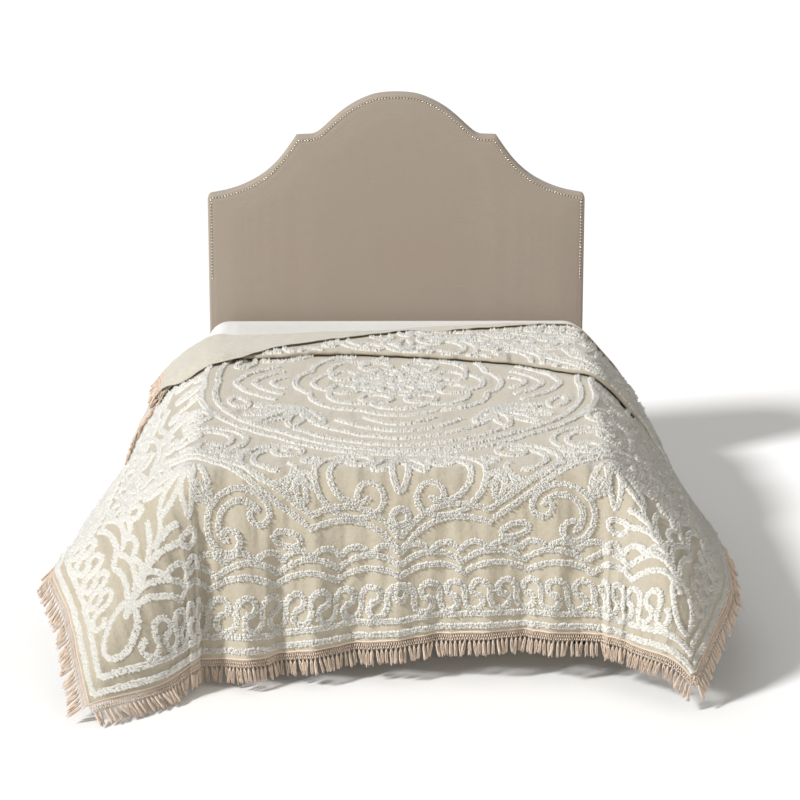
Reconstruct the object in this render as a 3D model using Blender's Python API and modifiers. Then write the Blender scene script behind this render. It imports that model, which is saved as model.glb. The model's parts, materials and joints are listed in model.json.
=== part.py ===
"""A chenille bedspread with a knotted fringe, draped over a plain double bed.

Metres, +Z up. The origin is on the floor under the middle of the mattress. +Y runs towards the
headboard and -Y towards the foot of the bed.

The bedspread is first planned flat, as a sheet with a pleat and a turned-back end near the
pillows, and then hung over the mattress: every point past the edge of the flat top runs down a
straight or gently bending line that leaves the edge at the angles in the HANG table.
"""
import math

import bmesh
import bpy
import numpy as np

# The bed
MATTRESS_WIDTH = 1.372
MATTRESS_LENGTH = 1.905
MATTRESS_DEPTH = 0.280
BED_HEIGHT = 0.640  # floor to the top of the mattress
MATTRESS_EDGE = 0.080  # radius of the long edges
MATTRESS_CORNER = 0.085  # radius of the corners seen from above
BASE_DEPTH = 0.240
BASE_INSET = 0.016
FOOT_RADIUS = 0.030
FOOT_IN = (0.10, 0.24)  # the corner feet, from the base's sides and ends
HEADBOARD_HALF_WIDTH = 0.684
HEADBOARD_THICK = 0.070
HEADBOARD_BOTTOM = 0.300
HEADBOARD_CORNER = 0.018  # radius of its upper outer corners
LEG_WIDTH, LEG_THICK = 0.070, 0.040

# The bedspread
SPREAD_WIDTH = 2.500  # cut width with both fringes
FOOT_DROP = 0.487  # from the mattress edge to the foot hem, fringe not counted
FRINGE = 0.078
CLOTH = 0.003
FRINGE_THICK = 0.003
BEND = 0.080  # radius of the cloth over the mattress edge
EDGE_TO_FLAT = 0.070  # the cloth starts to bend this far inside the mattress's sides
LAYER = 0.010  # pitch of the folded layers

HEADING = 0.012  # knotted top of the fringe that goes on in the hem's own direction
STIFF = 0.70  # how much of the hem's slope the tassels keep, from 0, straight down, to 1
FLOOR_ROOM = 0.006  # how far the tassels' ends stay off the floor
SHORTEST_TOOTH = 0.025
CORNER_ROOM = 0.06  # share of its last hem stretch that a fringe leaves free at a corner
TOOTH_START, TOOTH_END = 0.18, 0.82  # share of a hem stretch that its tassel takes

# Fits
SEAT = 0.0003
HEM_SEAT = 0.0008

TASSEL = FRINGE - HEADING
HEADBOARD_FACE = MATTRESS_LENGTH / 2 + 0.0105

SIDE_HEM = SPREAD_WIDTH / 2 - FRINGE  # the hems' places in the flat plan
FLAT_X = MATTRESS_WIDTH / 2 - EDGE_TO_FLAT
FLAT_Y = MATTRESS_LENGTH / 2 - EDGE_TO_FLAT
FOOT_HEM = -MATTRESS_LENGTH / 2 - FOOT_DROP
TOP_Z = BED_HEIGHT + SEAT + CLOTH / 2
HALF_WAY, REACH = 0.30, 0.56  # lengths from the flat top at which the angles are given

# Grid lines of the sheet: distances past the flat top, and the number of strips over the foot
FOOT_LINES = (-FLAT_Y - FOOT_HEM, 0.47, 0.38, 0.29, 0.20, 0.13, 0.085, 0.056, 0.028, 0.0)
LEFT_LINES = (SIDE_HEM - FLAT_X, 0.47, 0.38, 0.30, 0.25, 0.20, 0.15, 0.10, 0.066, 0.033, 0.0)
RIGHT_LINES = (SIDE_HEM - FLAT_X, 0.47, 0.38, 0.29, 0.20, 0.10, 0.066, 0.033, 0.0)
FOOT_STRIPS = 24
FLAP_LINES = 7  # grid lines of the turned-back end

# How the cloth hangs. place: 0 head left, 1 foot corner left, 2 to 3 along the foot, 4 foot
# corner right, 5 head right. turn: compass of the hanging line, 0 left, 90 to the foot, 180 right.
# high, middle, low: degrees below level just past the edge, half way down and near the hem.
HANG_COLUMNS = ("place", "turn", "high", "middle", "low")
HANG = (
    (0.00, 0, 36, 50, 69),
    (0.17, 0, 31, 56, 76),
    (0.40, 0, 31, 59, 70),
    (0.62, 0, 38, 46, 58),
    (0.85, 2, 38, 41, 49),
    (1.00, 10, 34, 36, 44),
    (1.25, 32, 39, 43, 49),
    (1.49, 54, 42, 46, 50),
    (1.74, 78, 56, 66, 70),
    (1.90, 88, 62, 72, 74),
    (2.03, 94, 68, 80, 84),
    (2.11, 96, 64, 72, 76),
    (2.20, 94, 72, 82, 86),
    (2.28, 92, 68, 76, 80),
    (2.38, 90, 76, 83, 87),
    (2.48, 90, 72, 78, 82),
    (2.60, 90, 77, 83, 87),
    (2.72, 88, 73, 79, 82),
    (2.80, 88, 77, 83, 88),
    (2.88, 86, 70, 77, 80),
    (2.96, 87, 74, 80, 84),
    (3.06, 92, 67, 74, 80),
    (3.22, 106, 56, 66, 82),
    (3.51, 122, 30, 32, 76),
    (3.75, 147, 35, 41, 70),
    (4.00, 172, 36, 42, 62),
    (4.20, 180, 36, 46, 51),
    (4.45, 180, 36, 52, 63),
    (4.70, 180, 46, 58, 66),
    (4.86, 180, 42, 59, 73),
    (5.00, 180, 44, 58, 71),
)

# The plan before it hangs, by the place x across the spread. foot: how much further the foot
# hem reaches there. front: front edge of the pleat near the pillows. depth: how far the pleat
# runs under. head: the edge where the end turns back. hem: where the plain end hem comes to
# lie. slide: how far the pleat draws the cloth above it in towards the middle.
PLAN_COLUMNS = ("x", "foot", "front", "depth", "head", "hem", "slide")
PLAN = (
    (-1.170, 0.040, 0.370, 0.24, 0.650, 0.370, 0.32),
    (-0.900, 0.050, 0.345, 0.23, 0.615, 0.245, 0.20),
    (-0.645, 0.055, 0.325, 0.22, 0.585, 0.285, 0.10),
    (-0.470, 0.050, 0.335, 0.22, 0.610, 0.405, 0.06),
    (-0.265, 0.025, 0.380, 0.21, 0.655, 0.510, 0.04),
    (-0.040, 0.000, 0.355, 0.25, 0.705, 0.605, 0.03),
    (0.150, -0.020, 0.315, 0.28, 0.750, 0.690, 0.02),
    (0.390, -0.030, 0.250, 0.30, 0.790, 0.755, 0.01),
    (0.580, -0.020, 0.140, 0.32, 0.800, 0.788, 0.00),
    (0.660, -0.020, 0.120, 0.33, 0.760, 0.748, 0.00),
    (0.760, -0.025, 0.150, 0.34, 0.710, 0.698, 0.00),
    (1.170, -0.035, 0.220, 0.34, 0.660, 0.648, 0.00),
)

# The top edge of the headboard's right half, as (x, z): the crown out to the end of its
# small flat ledge, and the hollow shoulder out to the rounded corner
CROWN = (
    (0.000, 1.457),
    (0.030, 1.456),
    (0.070, 1.451),
    (0.110, 1.438),
    (0.150, 1.419),
    (0.190, 1.393),
    (0.230, 1.359),
    (0.260, 1.331),
    (0.283, 1.312),
    (0.305, 1.303),
    (0.360, 1.301),
)
SHOULDER = (
    (0.360, 1.301),
    (0.380, 1.271),
    (0.400, 1.243),
    (0.420, 1.217),
    (0.445, 1.190),
    (0.480, 1.160),
    (0.520, 1.135),
    (0.570, 1.112),
    (0.620, 1.097),
    (0.666, 1.088),
)


def smooth_curve(xs, ys, at):
    """A smooth curve through points that never overshoots them."""
    xs, ys = np.asarray(xs, float), np.asarray(ys, float)
    step = np.diff(xs)
    rise = np.diff(ys) / step
    slope = np.zeros(len(xs))
    same = rise[:-1] * rise[1:] > 0
    total = rise[:-1] + rise[1:]
    slope[1:-1] = np.where(same, 2 * rise[:-1] * rise[1:] / np.where(same, total, 1), 0)
    slope[0], slope[-1] = rise[0], rise[-1]
    at = np.clip(at, xs[0], xs[-1])
    i = np.clip(np.searchsorted(xs, at, side="right") - 1, 0, len(step) - 1)
    h = step[i]
    f = (at - xs[i]) / h
    return (
        ys[i] * (1 + 2 * f) * (1 - f) ** 2
        + ys[i + 1] * f * f * (3 - 2 * f)
        + h * slope[i] * f * (1 - f) ** 2
        - h * slope[i + 1] * f * f * (1 - f)
    )


def read(table, columns, key, name, at):
    """The named column of a table, read smoothly along its key column."""
    rows = np.array(table, float)
    return smooth_curve(rows[:, columns.index(key)], rows[:, columns.index(name)], at)


def ease(low, high, value):
    f = np.clip((value - low) / (high - low), 0, 1)
    return f * f * (3 - 2 * f)


def bent(length, first, last, whole):
    """How far out and down a line runs that turns evenly from one slope to another."""
    rate = np.where(np.abs(last - first) < 1e-5, 1e-5, last - first) / whole
    end = first + rate * length
    return (np.sin(end) - np.sin(first)) / rate, (np.cos(first) - np.cos(end)) / rate, end


def hang(x, y, lift):
    """Where the planned point (x, y), lift above the lowest layer, lies on the bed."""
    side = np.maximum(np.abs(x) - FLAT_X, 0)
    foot = np.maximum(-FLAT_Y - y, 0)
    run = np.hypot(side, foot)
    fan = np.degrees(np.arctan2(foot, side))
    along = np.clip((FLAT_Y - y) / (2 * FLAT_Y), 0, 1)
    across = 2 + (np.clip(x, -FLAT_X, FLAT_X) + FLAT_X) / (2 * FLAT_X)
    place = np.where(side > 0, np.where(x < 0, along + fan / 90, 5 - along - fan / 90), across)
    natural = np.where(side > 0, np.where(x < 0, fan, 180 - fan), 90)
    turn = read(HANG, HANG_COLUMNS, "place", "turn", place)
    heading = np.radians(natural + (turn - natural) * ease(0.02, 0.25, run))
    high, middle, low = (
        np.radians(read(HANG, HANG_COLUMNS, "place", name, place)) for name in HANG_COLUMNS[2:]
    )
    out, down, slope, left = 0, 0, 0, run
    for length, first, last in (
        (BEND * high, 0 * high, high),
        (HALF_WAY - BEND * high, high, middle),
        (REACH - HALF_WAY, middle, low),
        (np.full_like(high, 1.0), low, low),
    ):
        part = np.clip(left, 0, length)
        more_out, more_down, end = bent(part, first, last, length)
        slope = np.where(left > 0, end, slope)
        out, down, left = out + more_out, down + more_down, left - part
    east, south = -np.cos(heading), -np.sin(heading)
    return np.stack(
        [
            np.clip(x, -FLAT_X, FLAT_X) + east * (out + lift * np.sin(slope)),
            np.maximum(y, -FLAT_Y) + south * (out + lift * np.sin(slope)),
            TOP_Z - down + lift * np.cos(slope),
        ],
        axis=-1,
    )


def plan(columns):
    """The flat plan of the spread: arrays of x, y and lift, a row for each line across it."""
    reach, front, depth, head, hem, slide = (
        read(PLAN, PLAN_COLUMNS, "x", name, columns) for name in PLAN_COLUMNS[1:]
    )
    back = front + depth
    turn = LAYER / 2
    same = np.ones_like(columns)
    rows = []

    def add(x, y, lift):
        """A line of the sheet, let down past the foot edge where the hem reaches further."""
        lowered = reach * np.maximum(-FLAT_Y - y, 0) / (-FLAT_Y - FOOT_HEM)
        rows.append((x * same, y - lowered, lift * same))

    def edge(x, y, lift, towards):
        """Half a turn of the cloth round a fold, towards the head (1) or the foot (-1)."""
        for angle in np.radians((50, 90, 130)):
            add(x, y + towards * turn * np.sin(angle), lift + turn * (1 - np.cos(angle)))

    def upper(y):
        """Lift of the layer above the pleat, which comes down behind it."""
        return 2 * LAYER * (1 - ease(0.010, 0.085, y - back))

    for drop in FOOT_LINES:
        add(columns, -FLAT_Y - drop, 0)
    for share in (0.12, 0.27, 0.45, 0.64, 0.82, 1.0):
        add(columns, -FLAT_Y + share * (back + FLAT_Y), 0)
    edge(columns, back, 0, 1)
    for share in (0, 0.25, 0.5, 0.75, 1):
        add(columns + slide * share, back - share * depth, LAYER)
    drawn_in = columns + slide
    edge(drawn_in, front, LAYER, -1)
    beyond = head - back
    for y in (
        front,
        (front + back) / 2,
        back + np.minimum(0.25 * beyond, 0.010),
        back + np.minimum(0.50 * beyond, 0.045),
        back + np.minimum(0.75 * beyond, 0.085),
        head,
    ):
        add(drawn_in, y, upper(y))
    edge(drawn_in, head, upper(head), 1)
    for share in np.linspace(0, 1, FLAP_LINES):
        y = head + share * (hem - head)
        add(drawn_in, y, upper(y) * ease(-0.09, 0.0, y - front) + LAYER)
    return [np.array(values) for values in zip(*rows)]


def sheet_columns():
    """Where the lines that run from foot to head cross the flat plan, left to right."""
    left, right = FLAT_X + np.array(LEFT_LINES), FLAT_X + np.array(RIGHT_LINES)
    top = np.linspace(-FLAT_X, FLAT_X, FOOT_STRIPS + 1)[1:-1]
    return np.concatenate([-left, top, right[::-1]])


def new_object(name, mesh, colour, roughness, metallic=0.0):
    """A mesh as a named object of the part, with its own material."""
    material = bpy.data.materials.new(name)
    material.use_nodes = True
    finish = material.node_tree.nodes["Principled BSDF"]
    finish.inputs["Base Color"].default_value = (*colour, 1)
    finish.inputs["Roughness"].default_value = roughness
    finish.inputs["Metallic"].default_value = metallic
    piece = bpy.data.objects.new(name, mesh)
    piece.data.materials.append(material)
    PARTS.objects.link(piece)
    return piece


def thicken(piece, thickness):
    """Give an open sheet its thickness, half to each side."""
    wall = piece.modifiers.new("Thickness", "SOLIDIFY")
    wall.thickness = thickness
    wall.offset = 0.0
    wall.use_rim = True


def grid_mesh(name, points, keep=lambda row, column: True):
    """A sheet over rows and columns of points, where keep says so.

    Each four-sided patch is two triangles, parted along the line that points away from the
    middle of the bed, so that the ridges at the foot corners stay clean.
    """
    rows, columns = points.shape[:2]
    bm = bmesh.new()
    corners = [[None] * columns for _ in range(rows)]

    def corner(row, column):
        if corners[row][column] is None:
            corners[row][column] = bm.verts.new(points[row, column])
        return corners[row][column]

    for row in range(rows - 1):
        for column in range(columns - 1):
            if keep(row, column):
                around = [(row, column), (row, column + 1), (row + 1, column + 1), (row + 1, column)]
                if column >= columns // 2:
                    around = around[1:] + around[:1]
                a, b, c, d = (corner(*place) for place in around)
                bm.faces.new((a, b, c))
                bm.faces.new((a, c, d))
    mesh = bpy.data.meshes.new(name)
    bm.to_mesh(mesh)
    bm.free()
    mesh.shade_smooth()
    return mesh


def make_bedspread():
    """The spread: one sheet, with its pleat and its turned-back end."""
    mesh = grid_mesh("bedspread", hang(*plan(sheet_columns())))
    piece = new_object("bedspread", mesh, (0.62, 0.56, 0.46), 0.95)
    thicken(piece, CLOTH)


def fringe_lines(hem, inside, lying):
    """Points of a fringe past a hem: its seat, the end of its heading and the tassels' ends.

    Hem and inside are planned points, as rows of x, y and lift. Tassels hang down from the
    stiff heading, and spread out where they would reach the floor. Where the hem lies on other
    cloth, lying is 1 and they go on along the cloth.
    """
    along = np.gradient(hem[:2], axis=1)
    along /= np.maximum(np.linalg.norm(along, axis=0), 1e-4)
    away = hem[:2] - inside[:2]
    away -= along * np.sum(away * along, axis=0)
    away /= np.linalg.norm(away, axis=0)
    away[:, 1:-1] = away[:, :-2] + 2 * away[:, 1:-1] + away[:, 2:]
    away /= np.linalg.norm(away, axis=0)
    seat, heading, flat_ends = (
        hang(*(hem[:2] + away * reach), hem[2]) for reach in (HEM_SEAT, HEADING, FRINGE)
    )
    level = (heading - seat)[:, :2]
    level /= np.linalg.norm(level, axis=-1, keepdims=True)
    steep = (seat - heading)[:, 2] / np.linalg.norm(heading - seat, axis=-1)
    hanging = np.minimum(1 - STIFF + STIFF * steep, 0.995)
    room = np.clip((heading[:, 2] - FLOOR_ROOM) / TASSEL, 0, hanging)[:, None]
    ends = heading + TASSEL * np.concatenate([level * np.sqrt(1 - room**2), -room], axis=1)
    return np.stack([seat, heading, ends + (flat_ends - ends) * lying[:, None]])


def make_fringe(name, hem, inside, lying):
    """One comb along a hem: a heading band, and a tassel under each long enough stretch."""
    lines = fringe_lines(hem, inside, lying)
    for end, inner in ((0, 1), (-1, -2)):
        lines[:, end] += (lines[:, inner] - lines[:, end]) * CORNER_ROOM
    stretches, teeth = [lines[:, :1]], []
    for column in range(lines.shape[1] - 1):
        a, b = lines[:, column : column + 1], lines[:, column + 1 : column + 2]
        if np.linalg.norm(b[0] - a[0]) > SHORTEST_TOOTH:
            stretches += [a + (b - a) * share for share in (TOOTH_START, TOOTH_END)]
            teeth.append(len(stretches) - 2)
        stretches.append(b)
    mesh = grid_mesh(
        name,
        np.concatenate(stretches, axis=1),
        lambda row, column: row == 0 or column in teeth,
    )
    piece = new_object(name, mesh, (0.52, 0.38, 0.29), 0.9)
    thicken(piece, FRINGE_THICK)


def make_fringes():
    """The foot fringe and the two side fringes, clear of each other at the corners."""
    flat = np.stack(plan(sheet_columns()))
    lines, columns = flat.shape[1:]
    drawn_in = SIDE_HEM - np.abs(flat[0, :, (0, -1)])
    lying = np.clip(drawn_in / FRINGE, 0, 1)
    lying[:, lines - FLAP_LINES :] = 1
    make_fringe("fringe_foot", flat[:, 0], flat[:, 1], np.zeros(columns))
    make_fringe("fringe_left", flat[:, :, 0], flat[:, :, 1], lying[0])
    make_fringe("fringe_right", flat[:, :, -1], flat[:, :, -2], lying[1])


def rounded_box(name, low, high, corner, edge, colour, roughness):
    """An upright block with round corners seen from above and rounded long edges."""
    bm = bmesh.new()
    bmesh.ops.create_cube(bm, size=1)
    low, high = np.array(low), np.array(high)
    bmesh.ops.scale(bm, vec=high - low, verts=bm.verts)
    bmesh.ops.translate(bm, vec=(low + high) / 2, verts=bm.verts)
    upright = [e for e in bm.edges if abs(e.verts[0].co.z - e.verts[1].co.z) > edge]
    bmesh.ops.bevel(bm, geom=upright, offset=corner, segments=5, affect="EDGES", profile=0.5)
    if edge:
        level = [e for e in bm.edges if abs(e.verts[0].co.z - e.verts[1].co.z) < 1e-6]
        bmesh.ops.bevel(bm, geom=level, offset=edge, segments=4, affect="EDGES", profile=0.5)
    mesh = bpy.data.meshes.new(name)
    bm.to_mesh(mesh)
    bm.free()
    mesh.shade_smooth()
    mesh.set_sharp_from_angle(angle=math.radians(40))
    return new_object(name, mesh, colour, roughness)


def make_mattress():
    half = np.array([MATTRESS_WIDTH / 2, MATTRESS_LENGTH / 2])
    rounded_box(
        "mattress",
        (*-half, BED_HEIGHT - MATTRESS_DEPTH),
        (*half, BED_HEIGHT),
        MATTRESS_CORNER,
        MATTRESS_EDGE,
        (0.85, 0.85, 0.85),
        0.9,
    )


def make_base():
    """The box base under the mattress, up against the headboard, on five feet."""
    half_x = MATTRESS_WIDTH / 2 - BASE_INSET
    foot_y = -MATTRESS_LENGTH / 2 + BASE_INSET
    top = BED_HEIGHT - MATTRESS_DEPTH - SEAT
    rounded_box(
        "base",
        (-half_x, foot_y, top - BASE_DEPTH),
        (half_x, HEADBOARD_FACE - SEAT, top),
        0.02,
        0.0,
        (0.40, 0.35, 0.30),
        0.9,
    )
    height = top - BASE_DEPTH - SEAT
    spots = {
        "foot_left_front": (-half_x + FOOT_IN[0], foot_y + FOOT_IN[1]),
        "foot_right_front": (half_x - FOOT_IN[0], foot_y + FOOT_IN[1]),
        "foot_left_head": (-half_x + FOOT_IN[0], -foot_y - FOOT_IN[1]),
        "foot_right_head": (half_x - FOOT_IN[0], -foot_y - FOOT_IN[1]),
        "foot_centre": (0, 0),
    }
    for name, (x, y) in spots.items():
        bm = bmesh.new()
        bmesh.ops.create_cone(
            bm,
            cap_ends=True,
            segments=16,
            radius1=FOOT_RADIUS * 0.8,
            radius2=FOOT_RADIUS,
            depth=height,
        )
        bmesh.ops.translate(bm, vec=(x, y, height / 2), verts=bm.verts)
        mesh = bpy.data.meshes.new(name)
        bm.to_mesh(mesh)
        bm.free()
        mesh.shade_smooth()
        mesh.set_sharp_from_angle(angle=math.radians(40))
        new_object(name, mesh, (0.07, 0.05, 0.04), 0.5)


def headboard_outline():
    """Right half of the headboard's face from the crown's top to its lower corner, as (x, z)."""
    points = []
    for table, count in ((CROWN, 19), (SHOULDER, 12)):
        x = np.linspace(table[0][0], table[-1][0], count)
        points += list(zip(x, smooth_curve(*np.array(table).T, x)))[:-1]
    inner_x, top_z = HEADBOARD_HALF_WIDTH - HEADBOARD_CORNER, SHOULDER[-1][1]
    for angle in np.linspace(0, math.pi / 2, 5):
        drop = HEADBOARD_CORNER * (1 - math.cos(angle))
        points.append((inner_x + HEADBOARD_CORNER * math.sin(angle), top_z - drop))
    points.append((HEADBOARD_HALF_WIDTH, HEADBOARD_BOTTOM))
    return points


def make_headboard():
    """A padded board with a camel-back crown, hollow shoulders and two legs to the floor."""
    right = headboard_outline()
    left = [(-x, z) for x, z in reversed(right[1:])]
    bm = bmesh.new()
    face = bm.faces.new([bm.verts.new((x, HEADBOARD_FACE, z)) for x, z in left + right])
    grown = bmesh.ops.extrude_face_region(bm, geom=[face])
    behind = [v for v in grown["geom"] if isinstance(v, bmesh.types.BMVert)]
    bmesh.ops.translate(bm, vec=(0, HEADBOARD_THICK, 0), verts=behind)
    bmesh.ops.recalc_face_normals(bm, faces=bm.faces)
    mesh = bpy.data.meshes.new("headboard")
    bm.to_mesh(mesh)
    bm.free()
    board = new_object("headboard", mesh, (0.36, 0.31, 0.26), 0.85)
    padding = board.modifiers.new("Padding", "BEVEL")
    padding.width = 0.008
    padding.segments = 2
    padding.limit_method = "ANGLE"
    padding.angle_limit = math.radians(60)

    for name, side in (("headboard_leg_left", -1), ("headboard_leg_right", 1)):
        middle = side * (HEADBOARD_HALF_WIDTH - LEG_WIDTH)
        back = HEADBOARD_FACE + HEADBOARD_THICK / 2
        rounded_box(
            name,
            (middle - LEG_WIDTH / 2, back - LEG_THICK / 2, 0),
            (middle + LEG_WIDTH / 2, back + LEG_THICK / 2, HEADBOARD_BOTTOM - SEAT),
            0.004,
            0.0,
            (0.07, 0.05, 0.04),
            0.5,
        )


for thing in list(bpy.data.objects):
    bpy.data.objects.remove(thing)
PARTS = bpy.data.collections.new("chenille_bedspread")
bpy.context.scene.collection.children.link(PARTS)

make_bedspread()
make_fringes()
make_mattress()
make_base()
make_headboard()
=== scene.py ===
# %% [markdown]
# # A chenille bedspread on a double bed
#
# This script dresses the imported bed. The bedspread is one sheet of beige cotton with raised
# off-white chenille tufts, a pleat near the head, a turned-back end and a knotted fringe.
# It is read from top to bottom: camera and light, the map that hangs the cloth, the tufted
# pattern, the node groups and materials, the cloth and its tufts, the fringe, and the bed.
#
# Everything is in metres in the bed's own frame: +Z up, the head at +Y, the floor at z = 0.

import json
import math

import bmesh
import bpy
import numpy as np
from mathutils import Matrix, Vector

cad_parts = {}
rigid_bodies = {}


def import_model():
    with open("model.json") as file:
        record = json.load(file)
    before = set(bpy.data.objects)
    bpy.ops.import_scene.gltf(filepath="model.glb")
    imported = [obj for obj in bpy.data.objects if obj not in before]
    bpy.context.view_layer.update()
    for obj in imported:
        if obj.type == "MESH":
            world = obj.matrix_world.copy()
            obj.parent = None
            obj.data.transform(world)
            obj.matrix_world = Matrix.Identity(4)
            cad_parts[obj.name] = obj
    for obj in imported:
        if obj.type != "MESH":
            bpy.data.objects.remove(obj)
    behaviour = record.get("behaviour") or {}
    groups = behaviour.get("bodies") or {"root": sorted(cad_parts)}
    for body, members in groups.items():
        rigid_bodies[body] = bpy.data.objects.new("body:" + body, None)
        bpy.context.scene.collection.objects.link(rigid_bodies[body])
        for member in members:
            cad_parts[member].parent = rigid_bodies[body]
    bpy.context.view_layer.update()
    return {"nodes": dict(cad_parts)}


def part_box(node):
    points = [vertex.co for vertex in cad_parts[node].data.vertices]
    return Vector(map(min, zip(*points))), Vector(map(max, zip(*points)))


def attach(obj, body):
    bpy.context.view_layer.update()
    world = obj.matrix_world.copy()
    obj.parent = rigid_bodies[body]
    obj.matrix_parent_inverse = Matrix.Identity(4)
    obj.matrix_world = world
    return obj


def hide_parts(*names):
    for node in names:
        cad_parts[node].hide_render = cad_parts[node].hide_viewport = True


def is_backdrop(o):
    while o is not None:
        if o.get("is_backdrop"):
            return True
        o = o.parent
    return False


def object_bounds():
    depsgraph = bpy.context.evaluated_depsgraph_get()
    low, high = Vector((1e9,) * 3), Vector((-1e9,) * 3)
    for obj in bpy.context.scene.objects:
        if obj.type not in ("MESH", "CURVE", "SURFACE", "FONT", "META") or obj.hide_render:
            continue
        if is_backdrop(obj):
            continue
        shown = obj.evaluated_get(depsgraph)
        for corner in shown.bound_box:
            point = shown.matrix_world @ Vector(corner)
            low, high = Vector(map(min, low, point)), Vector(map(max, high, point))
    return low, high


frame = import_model()
print("packed nodes:", ", ".join(sorted(frame["nodes"])))

# %% [markdown]
# ## Camera, floor and light
#
# A long lens from 9 m away, tipped down a little. The light is a bright studio: a key from the
# upper left, narrow enough to draw each line of pile with a soft-edged shadow, a broad weak
# fill from the right, one from behind, and an even pale surround. The floor is plain and pale.

# %% Camera
eye = bpy.data.cameras.new("camera")
eye.sensor_width = 36
eye.lens = 129
eye.clip_end = 60
camera = bpy.data.objects.new("camera", eye)
camera.location = (-0.063, -9.2, 3.27)
camera.rotation_euler = (math.radians(90 - 16.2), 0, math.radians(-0.43))
bpy.context.scene.collection.objects.link(camera)
bpy.context.scene.camera = camera
print("lens", eye.lens, "mm")

# %% Light and surround
world = bpy.data.worlds.new("studio")
world.use_nodes = True
surround = world.node_tree.nodes["Background"].inputs
surround["Color"].default_value = (1.0, 0.985, 0.955, 1)
surround["Strength"].default_value = 0.37
bpy.context.scene.world = world
bpy.context.scene.view_settings.view_transform = "Standard"

# name, direction the light comes from, how wide it looks in degrees, strength, colour
LAMPS = (
    ("key", (-1.02, -0.64, 0.92), 9, 3.40, (1.0, 1.0, 1.0)),
    ("fill", (0.45, -1.00, 0.55), 60, 0.34, (1.0, 0.92, 0.78)),
    ("back", (-0.35, 1.00, 1.10), 40, 0.35, (1.0, 1.0, 1.0)),
)
for name, source, wide, strength, colour in LAMPS:
    lamp = bpy.data.lights.new(name, "SUN")
    lamp.color = colour
    lamp.angle = math.radians(wide)
    lamp.energy = strength
    stand = bpy.data.objects.new(name, lamp)
    stand.rotation_euler = Vector(source).to_track_quat("Z", "Y").to_euler()
    bpy.context.scene.collection.objects.link(stand)
print(len(LAMPS), "lamps")

# %% [markdown]
# ## How the cloth hangs
#
# The spread is planned flat and then hung. Past the edge of the flat top each point runs down
# a bending line. The tables give the compass direction and the slopes of those lines round the
# bed, and the folds near the head. The solids were made with the same map, so the dressed
# cloth lies where they do.

# %% Sizes and tables
BED_TOP = 0.640
CLOTH = 0.003
FLAT_X, FLAT_Y = 0.616, 0.8825
SIDE_HEM, FOOT_HEM = 1.172, -1.4395
FRINGE, BEND, LAYER = 0.078, 0.080, 0.010
TOP_Z = BED_TOP + 0.0003 + CLOTH / 2
HALF_WAY, REACH = 0.30, 0.56

# place: 0 head left, 1 foot corner left, 2 to 3 along the foot, 4 foot corner right, 5 head
# right. turn: compass, 0 left, 90 to the foot. high, middle, low: degrees below level.
HANG_COLUMNS = ("place", "turn", "high", "middle", "low")
HANG = (
    (0.00, 0, 36, 50, 69),
    (0.17, 0, 31, 56, 76),
    (0.40, 0, 31, 59, 70),
    (0.62, 0, 38, 46, 58),
    (0.85, 2, 38, 41, 49),
    (1.00, 10, 34, 36, 44),
    (1.25, 32, 39, 43, 49),
    (1.49, 54, 42, 46, 50),
    (1.74, 78, 56, 66, 70),
    (1.90, 88, 62, 72, 74),
    (2.03, 94, 68, 80, 84),
    (2.11, 96, 64, 72, 76),
    (2.20, 94, 72, 82, 86),
    (2.28, 92, 68, 76, 80),
    (2.38, 90, 76, 83, 87),
    (2.48, 90, 72, 78, 82),
    (2.60, 90, 77, 83, 87),
    (2.72, 88, 73, 79, 82),
    (2.80, 88, 77, 83, 88),
    (2.88, 86, 70, 77, 80),
    (2.96, 87, 74, 80, 84),
    (3.06, 92, 67, 74, 80),
    (3.22, 106, 56, 66, 82),
    (3.51, 122, 30, 32, 76),
    (3.75, 147, 35, 41, 70),
    (4.00, 172, 36, 42, 62),
    (4.20, 180, 36, 46, 51),
    (4.45, 180, 36, 52, 63),
    (4.70, 180, 46, 58, 66),
    (4.86, 180, 42, 59, 73),
    (5.00, 180, 44, 58, 71),
)
# foot: how much further the foot hem reaches. front, depth: the pleat's edge, and how far it
# runs under. head: where the end turns back. hem: where its plain end lies. slide: how far
# the pleat draws the cloth above it in towards the middle.
PLAN_COLUMNS = ("x", "foot", "front", "depth", "head", "hem", "slide")
PLAN = (
    (-1.170, 0.040, 0.370, 0.24, 0.650, 0.370, 0.32),
    (-0.900, 0.050, 0.345, 0.23, 0.615, 0.245, 0.20),
    (-0.645, 0.055, 0.325, 0.22, 0.585, 0.285, 0.10),
    (-0.470, 0.050, 0.335, 0.22, 0.610, 0.405, 0.06),
    (-0.265, 0.025, 0.380, 0.21, 0.655, 0.510, 0.04),
    (-0.040, 0.000, 0.355, 0.25, 0.705, 0.605, 0.03),
    (0.150, -0.020, 0.315, 0.28, 0.750, 0.690, 0.02),
    (0.390, -0.030, 0.250, 0.30, 0.790, 0.755, 0.01),
    (0.580, -0.020, 0.140, 0.32, 0.800, 0.788, 0.00),
    (0.660, -0.020, 0.120, 0.33, 0.760, 0.748, 0.00),
    (0.760, -0.025, 0.150, 0.34, 0.710, 0.698, 0.00),
    (1.170, -0.035, 0.220, 0.34, 0.660, 0.648, 0.00),
)


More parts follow.
